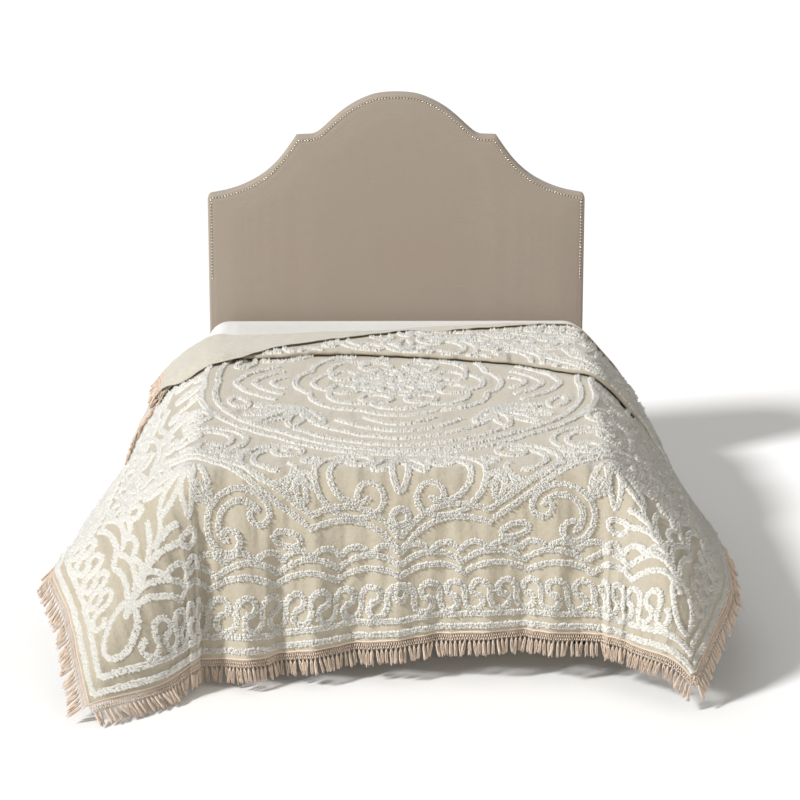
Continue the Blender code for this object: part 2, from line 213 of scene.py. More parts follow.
def smooth_curve(xs, ys, at):
    """A smooth curve through points that never overshoots them."""
    xs, ys = np.asarray(xs, float), np.asarray(ys, float)
    step = np.diff(xs)
    rise = np.diff(ys) / step
    slope = np.zeros(len(xs))
    same = rise[:-1] * rise[1:] > 0
    total = rise[:-1] + rise[1:]
    slope[1:-1] = np.where(same, 2 * rise[:-1] * rise[1:] / np.where(same, total, 1), 0)
    slope[0], slope[-1] = rise[0], rise[-1]
    at = np.clip(at, xs[0], xs[-1])
    i = np.clip(np.searchsorted(xs, at, side="right") - 1, 0, len(step) - 1)
    h = step[i]
    f = (at - xs[i]) / h
    return (
        ys[i] * (1 + 2 * f) * (1 - f) ** 2
        + ys[i + 1] * f * f * (3 - 2 * f)
        + h * slope[i] * f * (1 - f) ** 2
        - h * slope[i + 1] * f * f * (1 - f)
    )


def hangs(name, place):
    """A column of the hanging lines' table at places round the bed."""
    rows = np.array(HANG, float)
    return smooth_curve(rows[:, 0], rows[:, HANG_COLUMNS.index(name)], place)


def planned(name, x):
    """A column of the folds' table at x."""
    rows = np.array(PLAN, float)
    return smooth_curve(rows[:, 0], rows[:, PLAN_COLUMNS.index(name)], x)


def ease(low, high, value):
    """0 up to low, 1 from high on, and a smooth change between."""
    f = np.clip((value - low) / (high - low), 0, 1)
    return f * f * (3 - 2 * f)


def unit(vectors, axis=-1):
    """The same directions, each 1 long."""
    return vectors / np.maximum(np.linalg.norm(vectors, axis=axis, keepdims=True), 1e-9)


def left_of(directions):
    """Directions in a plane, turned a quarter to the left."""
    return np.stack([-directions[:, 1], directions[:, 0]], axis=1)


def reach_of(line):
    """How far along a line each of its points is."""
    return np.concatenate([[0], np.cumsum(np.linalg.norm(np.diff(line, axis=0), axis=1))])


def points_at(line, reach, at):
    """Points of a line where its reach is `at`."""
    return np.stack([np.interp(at, reach, column) for column in line.T], axis=1)


def hang(x, y, lift):
    """Where the planned point (x, y), lift above the lowest layer, lies on the bed."""
    side = np.maximum(np.abs(x) - FLAT_X, 0)
    foot = np.maximum(-FLAT_Y - y, 0)
    run = np.hypot(side, foot)
    fan = np.degrees(np.arctan2(foot, side))
    along = np.clip((FLAT_Y - y) / (2 * FLAT_Y), 0, 1)
    across = 2 + (np.clip(x, -FLAT_X, FLAT_X) + FLAT_X) / (2 * FLAT_X)
    place = np.where(side > 0, np.where(x < 0, along + fan / 90, 5 - along - fan / 90), across)
    natural = np.where(side > 0, np.where(x < 0, fan, 180 - fan), 90)
    turn = hangs("turn", place)
    heading = np.radians(natural + (turn - natural) * ease(0.02, 0.25, run))
    high, middle, low = (np.radians(hangs(name, place)) for name in HANG_COLUMNS[2:])
    out, down, slope, left = 0, 0, 0, run
    for length, first, last in (
        (BEND * high, 0 * high, high),
        (HALF_WAY - BEND * high, high, middle),
        (REACH - HALF_WAY, middle, low),
        (np.full_like(high, 1.0), low, low),
    ):
        part = np.clip(left, 0, length)
        rate = np.where(np.abs(last - first) < 1e-5, 1e-5, last - first) / length
        end = first + rate * part
        slope = np.where(left > 0, end, slope)
        out = out + (np.sin(end) - np.sin(first)) / rate
        down = down + (np.cos(first) - np.cos(end)) / rate
        left = left - part
    east, south = -np.cos(heading), -np.sin(heading)
    return np.stack(
        [
            np.clip(x, -FLAT_X, FLAT_X) + east * (out + lift * np.sin(slope)),
            np.maximum(y, -FLAT_Y) + south * (out + lift * np.sin(slope)),
            TOP_Z - down + lift * np.cos(slope),
        ],
        axis=-1,
    )


def let_down(x, y):
    """The foot skirt reaches a little further where the plan says so."""
    share = np.maximum(-FLAT_Y - y, 0) / (-FLAT_Y - FOOT_HEM)
    return y - planned("foot", x) * share


def upper(x, y):
    """Lift of the layer above the pleat, which comes down behind it."""
    back = planned("front", x) + planned("depth", x)
    return 2 * LAYER * (1 - ease(0.010, 0.085, y - back))


print("hem to hem", 2 * SIDE_HEM, "m; the foot hem at", FOOT_HEM)

# %% Creases of the cloth
rng = np.random.default_rng(7)
NOISE = rng.uniform(-1, 1, (64, 64))


def noise(x, y):
    """Smooth random values from -1 to 1 that repeat every 64 steps."""
    i, j = np.floor(x).astype(int), np.floor(y).astype(int)
    u, v = ease(0, 1, x - i), ease(0, 1, y - j)
    a, b = NOISE[i % 64, j % 64], NOISE[(i + 1) % 64, j % 64]
    c, d = NOISE[i % 64, (j + 1) % 64], NOISE[(i + 1) % 64, (j + 1) % 64]
    return (a * (1 - u) + b * u) * (1 - v) + (c * (1 - u) + d * u) * v


def ripple(x, y, loose=1.0):
    """Creases: small puckers between the tufts, and upright folds in the skirts."""
    foot = ease(0.03, 0.40, -FLAT_Y - y)
    side = ease(0.05, 0.45, np.abs(x) - FLAT_X)
    rest = ease(-0.02, 0.03, np.maximum(np.abs(x) - FLAT_X, -FLAT_Y - y))
    puckers = 0.0015 * (1 + noise(x / 0.034, y / 0.060 + 9)) + 0.0011 * noise(x / 0.023 + 5, y / 0.048)
    bend = noise(x / 0.12, y / 0.20 + 3)
    swell = 0.35 + 0.65 * np.abs(noise(x / 0.13 + 7, y / 0.60))
    upright = 0.0125 * (1 - 1.7 * np.abs(np.sin(x / 0.026 + 1.3 * bend)) ** 0.8) * swell
    slanted = 0.0055 * np.sin((y + 0.4 * x) / 0.019 + 2.4 * bend) * noise(x / 0.16, y / 0.13)
    return loose * (puckers + (foot * upright * (1 - side) + side * slanted) * rest)


sample = np.abs(ripple(*rng.uniform(-1.1, 0.2, (2, 999))))
print("creases up to", round(float(sample.max()) * 1000, 1), "mm")

# %% [markdown]
# ## The tufted pattern
#
# The pattern is drawn flat, in u across and v along the spread from its centre, with formulas:
# rosettes and scallops are rings whose radius swells and shrinks, leaves are pairs of arcs, and
# scrolls are lines whose curvature grows towards their ends. One quarter is drawn and mirrored.

# %% Curves of the pattern
HALF_U, HALF_V = 1.172, 1.480
CENTRE_V = 0.040


def scroll(*parts):
    """A smooth line of arcs (turn in degrees, first radius, last radius), from (0, 0) along +u."""
    points, heading, at = [(0.0, 0.0)], 0.0, np.zeros(2)
    for turn, first, last in parts:
        steps = max(int(abs(turn) / 4), 3)
        for k in range(steps):
            heading += math.radians(turn) / steps
            radius = first + (last - first) * (k + 0.5) / steps
            ahead = np.array([math.cos(heading), math.sin(heading)])
            at = at + radius * abs(math.radians(turn)) / steps * ahead
            points.append(tuple(at))
    return np.array(points)


def fitted(line):
    """The line moved and scaled so that its longest side is 1 and its box is round (0, 0)."""
    line = line - (line.min(0) + line.max(0)) / 2
    return line / np.ptp(line, axis=0).max()


def leaf(length, width, power=1.0):
    """A closed leaf from (0, 0) along +u, pointed at both ends."""
    a = np.linspace(0, math.pi, 40)
    along, half = length * (1 - np.cos(a)) / 2, width / 2 * np.sin(a) ** power
    return np.concatenate([np.stack([along, half], 1), np.stack([along, -half], 1)[::-1]])


def ring(radius_u, radius_v, lobes=0, depth=0.0, turn=0.0):
    """A ring, or with lobes a ring of round scallops that meet in points towards the centre."""
    a = np.linspace(0, 2 * math.pi, 361)
    r = 1 - depth * (1 - np.abs(np.sin(lobes * a / 2 + turn)) ** 0.75) if lobes else 1 + 0 * a
    return np.stack([radius_u * r * np.cos(a), radius_v * r * np.sin(a)], axis=1)


def arch(a, b, bow):
    """A bowed line from a to b; bow is its height over its length, to the left."""
    a, b = np.array(a, float), np.array(b, float)
    f = np.linspace(0, 1, 40)[:, None]
    across = np.array([-(b - a)[1], (b - a)[0]])
    return a + (b - a) * f + across * bow * 4 * f * (1 - f)


def placed(line, u, v, size, turn, flip=False):
    """A line turned by degrees, scaled, and moved to (u, v)."""
    c, s = math.cos(math.radians(turn)), math.sin(math.radians(turn))
    x, y = line[:, 0] * (-1 if flip else 1), line[:, 1]
    return np.stack([u + size * (c * x - s * y), v + size * (s * x + c * y)], axis=1)


def with_echo(line, gap, first, last):
    """The line fitted, and again the part between two shares of it, a gap to its left."""
    line = fitted(line)
    part = line[int(first * len(line)) : int(last * len(line))]
    return [line, part + gap * left_of(unit(np.gradient(part, axis=0)))]


HOOK = ((260, 0.10, 0.17), (70, 0.30, 0.46), (90, 0.46, 0.46), (60, 0.44, 0.30), (260, 0.18, 0.10))
CROOK = ((290, 0.10, 0.18), (80, 0.26, 0.42), (100, 0.46, 0.46), (170, 0.22, 0.13))
SNAKE = ((250, 0.09, 0.17), (70, 0.32, 0.52), (-70, 0.52, 0.32), (-250, 0.17, 0.09))
CURL = ((250, 0.13, 0.20), (50, 0.28, 0.32), (-50, 0.32, 0.28), (-250, 0.20, 0.13))

# Motifs roughly 1 long, each a list of lines
MOTIFS = {
    # both ends curl in on the same side, with a shorter line inside
    "c": with_echo(scroll(*HOOK), 0.17, 0.27, 0.73),
    # one big curl and one small one
    "g": with_echo(scroll(*CROOK), 0.17, 0.40, 0.82),
    # the ends curl to opposite sides, and the same with fuller curls, for the border
    "s": [fitted(scroll(*SNAKE))],
    "curl": [fitted(scroll(*CURL))],
    # three leaves from one stem, and five in a fan
    "sprig": [placed(leaf(0.62 if k else 0.85, 0.26, 1.2), -0.5, 0, 1, 42 * k) for k in (-1, 0, 1)],
    "palmette": [placed(leaf(1.0 - 0.12 * abs(k), 0.22, 1.2), -0.5, 0, 1, 33 * k) for k in range(-2, 3)],
    "leaf": [leaf(1.0, 0.46, 1.2) - (0.5, 0)],
    "bud": [ring(0.5, 0.5)],
}

# One quarter of the field. size: scale. turn: degrees. flip: mirrored, if given.
FIELD_COLUMNS = ("motif", "u", "v", "size", "turn", "flip")
FIELD = (
    # inside the oval
    ("palmette", 0.385, 0.400, 0.215, 47),
    ("leaf", 0.520, 0.235, 0.120, -72),
    ("bud", 0.275, 0.400, 0.040, 0),
    # between the pointed oval and the large frame
    ("c", 0.155, 0.965, 0.270, 90),
    ("g", 0.380, 0.850, 0.245, 42),
    ("c", 0.590, 0.640, 0.265, -48, True),
    ("g", 0.700, 0.380, 0.180, -72),
    ("s", 0.715, 0.150, 0.150, -50, True),
    ("sprig", 0.300, 1.015, 0.110, 100),
    ("leaf", 0.505, 0.800, 0.090, 30),
    ("bud", 0.660, 0.510, 0.045, 0),
    ("leaf", 0.667, 0.735, 0.095, -42),
    ("leaf", 0.735, 0.540, 0.095, -86),
    ("leaf", 0.715, 0.262, 0.080, -80),
    ("bud", 0.275, 0.865, 0.045, 0),
    # between the frame and the border
    ("c", 0.500, 1.085, 0.200, 25),
    ("c", 0.810, 0.800, 0.200, -110),
    ("palmette", 0.705, 0.975, 0.195, 45),
    ("leaf", 0.350, 1.150, 0.090, 165),
    ("bud", 0.612, 1.010, 0.045, 0),
    ("bud", 0.850, 0.960, 0.050, 0),
    ("leaf", 0.690, 1.130, 0.090, 5),
    ("leaf", 0.870, 0.620, 0.090, -80),
    ("leaf", 0.858, 0.440, 0.120, -95),
)
# On the long and the short axis
AXIS = (
    ("sprig", 0.0, 0.955, 0.190, 90),
    ("bud", 0.0, 1.100, 0.050, 0),
    ("leaf", 0.710, 0.0, 0.100, 0),
)


def both_ways(line):
    """The line and its mirror images in the other three quarters."""
    return [line * (a, b) for a in (-1, 1) for b in (-1, 1)]


def centre_lines():
    """The rosette, its ring of petals, pointed leaves at the sides and nested lotus arcs."""
    lines = [ring(0.030, 0.030), ring(0.150, 0.165, 8, 0.20)]
    for k in range(8):
        turn = math.radians(45 * k + 22.5)
        at = 0.052 * np.array([math.cos(turn), math.sin(turn)])
        lines.append(placed(leaf(0.078, 0.050, 1.3), *at, 1, math.degrees(turn)))
        at = 0.195 * np.array([math.cos(turn), 1.08 * math.sin(turn)])
        lines.append(placed(ring(0.044, 0.052), *at, 1, math.degrees(turn)))
    lines.append(ring(0.285, 0.315, 8, 0.16, math.pi / 2))
    lines.append(ring(0.345, 0.385, 8, 0.09, math.pi / 2))
    for tip, root, half in ((0.545, 0.405, 0.20), (0.485, 0.385, 0.135), (0.425, 0.375, 0.065)):
        lines += both_ways(arch((tip, 0.0), (root, half), -0.10))
    petals = ((0.715, 0.33, 0.535), (0.640, 0.27, 0.475), (0.565, 0.20, 0.430), (0.490, 0.11, 0.410))
    for tip, half, end in petals:
        lines += both_ways(arch((0.0, tip), (half, end), 0.10))
    return lines


def frame_lines():
    """The double pointed oval round the centre, and the large lozenge frame round the field."""
    lines = []
    for out in (0.0, 0.045):
        middle = (0.36 + out * 0.7, 0.585 + out * 0.8)
        lines += both_ways(arch((0.600 + out, 0.0), middle, -0.14))
        lines += both_ways(arch(middle, (0.0, 0.775 + out), -0.10))
    for out in (0.0, 0.042):
        tip, step = (0.0, 1.165 + out), (0.270 + 0.2 * out, 1.085 + out)
        lines += both_ways(arch(tip, step, -0.20))
        step = (0.270 + 0.3 * out, 1.085 + 0.7 * out)
        corner, side = (0.780 + 0.7 * out, 0.650 + 0.4 * out), (0.800 + out, 0.230)
        lines += both_ways(arch(step, corner, 0.02))
        lines += both_ways(arch(corner, side, -0.06))
        lines += both_ways(arch(side, (0.800 + out, 0.0), 0.12))
    return lines


CORNER_FREE, CURL_PITCH = 0.225, 0.078


def side_run(inset, wave, pitch):
    """Straight or scalloped lines at a distance from the hem, on all four sides."""
    lines = []
    for along, across, turn in ((HALF_U, HALF_V, 0), (HALF_V, HALF_U, 90)):
        along, across = along - inset, across - inset
        count = max(2 * round(along / pitch), 2)
        f = np.linspace(-1, 1, int(2 * along / 0.006))
        push = wave * np.abs(np.sin(math.pi * count / 2 * (f + 1))) ** 0.7
        for side in (-1, 1):
            line = np.stack([f * along, side * (across - push)], axis=1)
            lines.append(placed(line, 0, 0, 1, turn))
    return lines


def border_lines():
    """Scallops, a band of running curls, and two plain lines at the hem."""
    lines = []
    for inset, wave, pitch in (
        (0.194, 0.034, 0.185), (0.228, 0.040, 0.185), (0.266, 0.030, 0.0925),
        (0.060, 0.004, 0.37), (0.022, 0.002, 0.37),
    ):
        lines += side_run(inset, wave, pitch)
    for along, across, turn in ((HALF_U, HALF_V, 0), (HALF_V, HALF_U, 90)):
        along -= CORNER_FREE
        count = round(along / CURL_PITCH)
        for k in range(count):
            curl = placed(MOTIFS["curl"][0], along * (k + 0.5) / count, across - 0.124, 0.112, -20)
            lines += [placed(mirrored, 0, 0, 1, turn) for mirrored in both_ways(curl)]
    return lines


def corner_lines():
    """Nested angles with bowed sides at each corner, and a leaf on its diagonal."""
    lines = []
    for inset, arm in ((0.300, 0.15), (0.350, 0.10)):
        u, v = HALF_U - inset, HALF_V - inset
        lines += both_ways(arch((u - arm, v - 0.05), (u, v), -0.10))
        lines += both_ways(arch((u, v), (u - 0.05, v - arm), -0.10))
    lines += both_ways(placed(leaf(0.17, 0.085), HALF_U - 0.105, HALF_V - 0.105, 1, 225))
    return lines


def pattern_lines():
    """Every tufted line of the spread, as (u, v) points."""
    lines = centre_lines() + frame_lines() + border_lines() + corner_lines()
    for row in FIELD + AXIS:
        motif = dict(zip(FIELD_COLUMNS, row))
        for line in MOTIFS[motif.pop("motif")]:
            lines += both_ways(placed(line, **motif))
    return lines


LINES = pattern_lines()
total = sum(reach_of(line)[-1] for line in LINES)
print(len(LINES), "tufted lines,", round(total, 1), "m in all")

# %% [markdown]
# ## Points of the tufts
#
# On a real spread the pile is sewn in rows with a needle. Here each line becomes a band of
# three staggered rows of points. A point knows where it lies on the hung cloth and which way
# is up there. Points that a fold would cover are left out.

# %% Lay points on the cloth
TUFT_PITCH, ROW_PITCH = 0.0066, 0.0056
ROWS = (-1, 0, 1)
STRAY, PROBE = 0.0009, 0.004
HEM_ROOM, FLAP_ROOM, PLEAT_ROOM, PLEAT_EDGE = 0.008, 0.012, 0.010, 0.004
ARC = math.pi * LAYER / 2
FACE_LIFT = CLOTH * 0.4


def band_points(line):
    """Places of the tufts, (u, v), in staggered rows side by side along a line."""
    step = np.linalg.norm(np.diff(line, axis=0), axis=1)
    line = line[np.concatenate([[True], step > 1e-6])]
    reach = reach_of(line)
    count = max(int(reach[-1] / TUFT_PITCH), 2)
    rows = []
    for row in ROWS:
        shift = 0.5 + 0.5 * (row % 2)
        at = (np.arange(count) + shift + rng.uniform(-0.25, 0.25, count)) / count * reach[-1]
        middle, ahead, behind = (points_at(line, reach, at + d) for d in (0, PROBE, -PROBE))
        across = left_of(unit(ahead - behind))
        rows.append(middle + row * ROW_PITCH * across + rng.normal(0, STRAY, middle.shape))
    return np.concatenate(rows)


def covered(x, y):
    """Whether the turned-back end lies over this point of the upper layer."""
    columns = np.linspace(-SIDE_HEM, SIDE_HEM, 200)
    hem = np.interp(x, columns + planned("slide", columns), planned("hem", columns))
    return (y > hem - FLAP_ROOM) & (x > planned("slide", -SIDE_HEM) - SIDE_HEM - FLAP_ROOM)


def lay(x, t, height):
    """Places and up directions at (x, t) of the pattern, and which of them show."""
    front, depth, head = (planned(name, x) for name in ("front", "depth", "head"))
    above = t - 2 * depth - 2 * ARC
    lifted = upper(x, above)
    drawn_in = x + planned("slide", x)
    lower, top = t < front - PLEAT_ROOM, (above > front + PLEAT_EDGE) & (above < head)
    top &= ~covered(drawn_in, above)
    y = np.where(lower, let_down(x, t), above)
    x = np.where(lower, x, drawn_in)
    lift = np.where(lower, 0, lifted) + ripple(x, y) + FACE_LIFT
    place, over = hang(x, y, lift + height), hang(x, y, lift + height + PROBE)
    return place, unit(over - place), lower | top


tuft_uv = np.concatenate([band_points(line) for line in LINES])
inside = (np.abs(tuft_uv[:, 0]) < HALF_U - HEM_ROOM) & (tuft_uv[:, 1] > -HALF_V + HEM_ROOM)
tuft_uv = tuft_uv[inside]
tuft_uv[:, 1] += CENTRE_V
tuft_place, tuft_up, shows = lay(tuft_uv[:, 0], tuft_uv[:, 1], 0.0)
tuft_uv, tuft_place, tuft_up = (a[shows] for a in (tuft_uv, tuft_place, tuft_up))
print(len(tuft_place), "nubs show on the bed")

# %% [markdown]
# ## Geometry Nodes: small things on points
#
# One node group does the repeating work of the scene. It puts a random member of a collection
# on every point, stands it up along the point's own "up" vector, gives it a random turn and
# size, and gives the result its material. Nubs, knots, tassels and nail heads all use it.

# %% The group
def add_node(tree, kind, inputs=(), **settings):
    """Outputs of a new node. Each input takes a value, or a link from another node's output."""
    node = tree.nodes.new(kind)
    for name, value in settings.items():
        setattr(node, name, value)
    for key, value in dict(inputs).items():
        if isinstance(value, bpy.types.NodeSocket):
            tree.links.new(value, node.inputs[key])
        else:
            node.inputs[key].default_value = value
    return node.outputs


def new_group(name, kind, inputs, outputs):
    """A node group with named sockets, and the outputs of its input node."""
    group = bpy.data.node_groups.new(name, kind)
    for way, sockets in (("INPUT", inputs), ("OUTPUT", outputs)):
        for label, socket in sockets.items():
            group.interface.new_socket(label, in_out=way, socket_type="NodeSocket" + socket)
    return group, add_node(group, "NodeGroupInput")


def scatter_group():
    """Random things on points, stood up along "up", turned, sized and given a material."""
    kinds = {
        "Points": "Geometry", "Things": "Collection", "Material": "Material",
        "Smallest": "Float", "Largest": "Float", "Turn": "Float", "Seed": "Int",
    }
    result = {"Result": "Geometry"}
    group, given = new_group("things_on_points", "GeometryNodeTree", kinds, result)

    def add(kind, inputs, **settings):
        return add_node(group, kind, inputs, **settings)

    def stored(name):
        kind = "GeometryNodeInputNamedAttribute"
        return add(kind, {"Name": name}, data_type="FLOAT_VECTOR")["Attribute"]

    def random(inputs):
        return add("FunctionNodeRandomValue", {**inputs, "Seed": given["Seed"]}, data_type="FLOAT")[1]

    def aligned(inputs, **settings):
        return add("FunctionNodeAlignRotationToVector", inputs, **settings)[0]

    picked = {"Collection": given["Things"], "Separate Children": True, "Reset Children": True}
    things = add("GeometryNodeCollectionInfo", picked)[0]
    upright = aligned({"Vector": stored("up")}, axis="Z")
    facing = aligned({"Rotation": upright, "Vector": stored("along")}, axis="X", pivot_axis="Z")
    angles = add("ShaderNodeCombineXYZ", {"Z": random({3: given["Turn"]})})[0]
    spin = add("FunctionNodeEulerToRotation", {0: angles})[0]
    both = {"Rotation": facing, "Rotate By": spin}
    turned = add("FunctionNodeRotateRotation", both, rotation_space="LOCAL")[0]
    size = random({2: given["Smallest"], 3: given["Largest"]})
    spots = {"Points": given["Points"], "Instance": things, "Rotation": turned, "Scale": size}
    on_points = add("GeometryNodeInstanceOnPoints", {**spots, "Pick Instance": True})[0]
    real = add("GeometryNodeRealizeInstances", {0: on_points})[0]
    cover = {"Geometry": real, "Material": given["Material"]}
    add("NodeGroupOutput", {0: add("GeometryNodeSetMaterial", cover)[0]})
    return group


SCATTER = scatter_group()
print("group", SCATTER.name, "with", len(SCATTER.nodes), "nodes")

# %% Its use
SPARES = bpy.data.collections.new("prototypes")
FULL_TURN = 6.283


def in_scene(name, mesh):
    """A mesh as a piece of the scene."""
    piece = bpy.data.objects.new(name, mesh)
    bpy.context.scene.collection.objects.link(piece)
    return piece


def set_of(name, meshes):
    """A collection of prototypes that the node group picks from."""
    group = bpy.data.collections.new(name)
    SPARES.children.link(group)
    for k, mesh in enumerate(meshes):
        group.objects.link(bpy.data.objects.new(f"{name}_{k}", mesh))
    return group


def scattered(name, places, ups, things, material, sizes, turn=FULL_TURN, seed=1, along=(1, 0, 0)):
    """A plain mesh of things stood up on points, their x axes near to `along`."""
    mesh = bpy.data.meshes.new(name)
    mesh.from_pydata([tuple(p) for p in places], [], [])
    for label, values in (("up", ups), ("along", np.broadcast_to(along, np.shape(places)))):
        mesh.attributes.new(label, "FLOAT_VECTOR", "POINT").data.foreach_set("vector", np.ravel(values))
    carrier = in_scene(name + "_points", mesh)
    modifier = carrier.modifiers.new("things", "NODES")
    modifier.node_group = SCATTER
    values = {
        "Things": things, "Material": material, "Smallest": sizes[0],
        "Largest": sizes[1], "Turn": turn, "Seed": seed,
    }
    for item in SCATTER.interface.items_tree:
        if item.in_out == "INPUT" and item.name in values:
            modifier[item.identifier] = values[item.name]
    solid = carrier.evaluated_get(bpy.context.evaluated_depsgraph_get())
    made = bpy.data.meshes.new_from_object(solid)
    bpy.data.objects.remove(carrier)
    for label in ("up", "along"):
        made.attributes.remove(made.attributes[label])
    made.materials.clear()
    made.materials.append(material)
    made.polygons.foreach_set("material_index", np.zeros(len(made.polygons), int))
    made.shade_smooth()
    made.name = name
    return in_scene(name, made)


def mesh_of(name, points, faces):
    """A smooth-shaded mesh from points and faces."""
    mesh = bpy.data.meshes.new(name)
    mesh.from_pydata(np.reshape(points, (-1, 3)).tolist(), [], faces)
    mesh.shade_smooth()
    return mesh


print("what the group picks from is kept in", SPARES.name)

# %% [markdown]
# ## Materials
#
# Shared effects are small node groups that give colours, masks and heights: a plain weave and
# a soft uneven tint. Each material then adds what is its own: the ground cloth's creases and
# streaks, the clumps of the pile, the strands of the fringe, the slubs of the linen. Painted shade
# darkens the creases and puckers, the hollows between the clumps and the strands, and the low
# places of the linen's weave.

# %% Shared shader groups
def math_node(tree, operation, *values):
    """One sum or function of numbers."""
    return add_node(tree, "ShaderNodeMath", enumerate(values), operation=operation)[0]


def noise_node(tree, vector, scale, detail, stretch=None):
    """Noise from 0 to 1, with its coordinates scaled by `stretch` if given."""
    if stretch:
        vector = add_node(tree, "ShaderNodeMapping", {"Vector": vector, "Scale": stretch})[0]
    inputs = {"Vector": vector, "Scale": scale, "Detail": detail}
    return add_node(tree, "ShaderNodeTexNoise", inputs)["Fac"]


def mix_node(tree, share, a, b, blend="MIX"):
    """Colour b laid over a by a share."""
    inputs = {"Factor": share, "A": a, "B": b}
    return add_node(tree, "ShaderNodeMix", inputs, data_type="RGBA", blend_type=blend)["Result"]


def weave_group():
    """Threads crossing over and under: a height from 0 to 1."""
    inputs = {"Vector": "Vector", "Threads": "Float"}
    group, given = new_group("weave", "ShaderNodeTree", inputs, {"Height": "Float"})
    x, y, z = (
        math_node(group, "SINE", math_node(group, "MULTIPLY", axis, given["Threads"]))
        for axis in add_node(group, "ShaderNodeSeparateXYZ", {0: given["Vector"]})
    )
    crossing = math_node(group, "MULTIPLY", x, y)
    crossing = math_node(group, "ADD", crossing, math_node(group, "MULTIPLY", z, x))
    height = math_node(group, "MULTIPLY_ADD", crossing, 0.25, 0.5)
    add_node(group, "NodeGroupOutput", {"Height": height})
    return group


def tint_group():
    """A colour that wanders a little between two, in broad patches and in fine flecks."""
    inputs = {
        "Vector": "Vector", "Colour": "Color", "Second": "Color",
        "Patch Scale": "Float", "Fleck Scale": "Float",
    }
    outputs = {"Colour": "Color", "Mask": "Float"}
    group, given = new_group("uneven_tint", "ShaderNodeTree", inputs, outputs)
    patches, flecks = (
        noise_node(group, given["Vector"], given[label], 3.0) for label in ("Patch Scale", "Fleck Scale")
    )
    both = math_node(group, "MULTIPLY_ADD", patches, 0.6, math_node(group, "MULTIPLY", flecks, 0.4))
    limits = {"Value": both, "From Min": 0.3, "From Max": 0.7}
    mask = add_node(group, "ShaderNodeMapRange", limits)["Result"]
    colour = mix_node(group, mask, given["Colour"], given["Second"])
    add_node(group, "NodeGroupOutput", {"Colour": colour, "Mask": mask})
    return group


WEAVE, TINT = weave_group(), tint_group()
print("shader groups:", WEAVE.name, TINT.name)


# %% Parts of a material
def new_material(name, colour, second, rough, patch, fleck=300.0, coords="Object", sheen=0.0):
    """A material with an uneven tint, and its tree, shader and coordinates."""
    material = bpy.data.materials.new(name)
    material.use_nodes = True
    material.diffuse_color = (*colour, 1)
    tree = material.node_tree
    shader = tree.nodes["Principled BSDF"]
    shader.inputs["Roughness"].default_value = rough
    shader.inputs["Sheen Weight"].default_value = sheen
    shader.inputs["Sheen Roughness"].default_value = 0.6
    place = add_node(tree, "ShaderNodeTexCoord")[coords]
    inputs = {
        "Vector": place, "Colour": (*colour, 1), "Second": (*second, 1),
        "Patch Scale": patch, "Fleck Scale": fleck,
    }
    tint = add_node(tree, "ShaderNodeGroup", inputs, node_tree=TINT)["Colour"]
    tree.links.new(tint, shader.inputs["Base Color"])
    return material, tree, shader, place


def add_bump(tree, shader, heights):
    """Bumps from (height, distance) pairs, one on another."""
    under = {}
    for height, distance in heights:
        inputs = {"Distance": distance, "Height": height, **under}
        under = {"Normal": add_node(tree, "ShaderNodeBump", inputs)["Normal"]}
    tree.links.new(under["Normal"], shader.inputs["Normal"])


def woven(tree, place, threads):
    """Height of a weave with so many threads to the metre, in radians."""
    inputs = {"Vector": place, "Threads": threads}
    return add_node(tree, "ShaderNodeGroup", inputs, node_tree=WEAVE)["Height"]


def darker_low(tree, shader, mask, amount):
    """Multiply the base colour so that it is darker where the mask is low."""
    source = shader.inputs["Base Color"].links[0].from_socket
    shade = (1 - amount, 1 - amount * 1.08, 1 - amount * 1.2, 1)
    low = math_node(tree, "SUBTRACT", 1.0, mask)
    tree.links.new(mix_node(tree, low, source, shade, "MULTIPLY"), shader.inputs["Base Color"])


print(len(bpy.data.materials), "materials came with the part")

# %% The materials
# Painted shade in the creases: a crease's colour is darkened this much for its depth in metres.
CREASE_SHADE = 4.6  # how much darker a crease is, for its depth in metres


def ground_cloth(name, colour, second, streaks, creases):
    """The spread's plain cotton, in its own UVs: weave, slubs, puckers, streaks and creases, with
    painted shade in the puckers and creases.
    """
    material, tree, shader, place = new_material(
        name, colour, second, 0.92, patch=5.0, fleck=220.0, coords="UV", sheen=0.50
    )
    slubs = noise_node(tree, place, 160.0, 2.0, (1.0, 6.0, 1.0))
    pucker = noise_node(tree, place, 60.0, 3.0)
    streak = noise_node(tree, place, 24.0, 2.5, (1.0, 7.0, 1.0))
    crease = noise_node(tree, place, 20.0, 0.6, (1.0, 0.14, 1.0))
    # The pucker and crease darkenings are painted shade, in the puckers between the tufts and in the
    # creases; slubs and streaks are the cloth's own tone.
    shades = ((slubs, 0.10), (streak, streaks), (pucker, 0.16), (crease, CREASE_SHADE * creases))
    for mask, amount in shades:
        darker_low(tree, shader, mask, amount)
    weave = woven(tree, place, 5200.0)
    add_bump(tree, shader, ((crease, creases), (pucker, 0.0030), (slubs, 0.0006), (weave, 0.0003)))
    return material


def linen(name, colour, second, threads, sheen=0.15):
    """A covering cloth with slubs that run across it, and painted shade in the low places of its weave.
    """
    material, tree, shader, place = new_material(name, colour, second, 0.9, patch=4.0, sheen=sheen)
    slubs = noise_node(tree, place, 130.0, 3.0, (0.25, 1.0, 3.5))
    weave = woven(tree, place, threads)
    # Darker where the weave is low: painted shade in the hollows between the threads.
    darker_low(tree, shader, weave, 0.14)
    add_bump(tree, shader, ((slubs, 0.0008), (weave, 0.0004)))
    return material


def grained(name, colour, second, rough, grains, metal=0.0, **tints):
    """A finish of noises, each (scale, detail, stretch, how much darker, height of its bump)."""
    material, tree, shader, place = new_material(name, colour, second, rough, **tints)
    shader.inputs["Metallic"].default_value = metal
    heights = []
    for scale, detail, stretch, darker, height in grains:
        grain = noise_node(tree, place, scale, detail, stretch)
        if darker:
            darker_low(tree, shader, grain, darker)
        heights.append((grain, height))
    if heights:
        add_bump(tree, shader, heights)
    return material


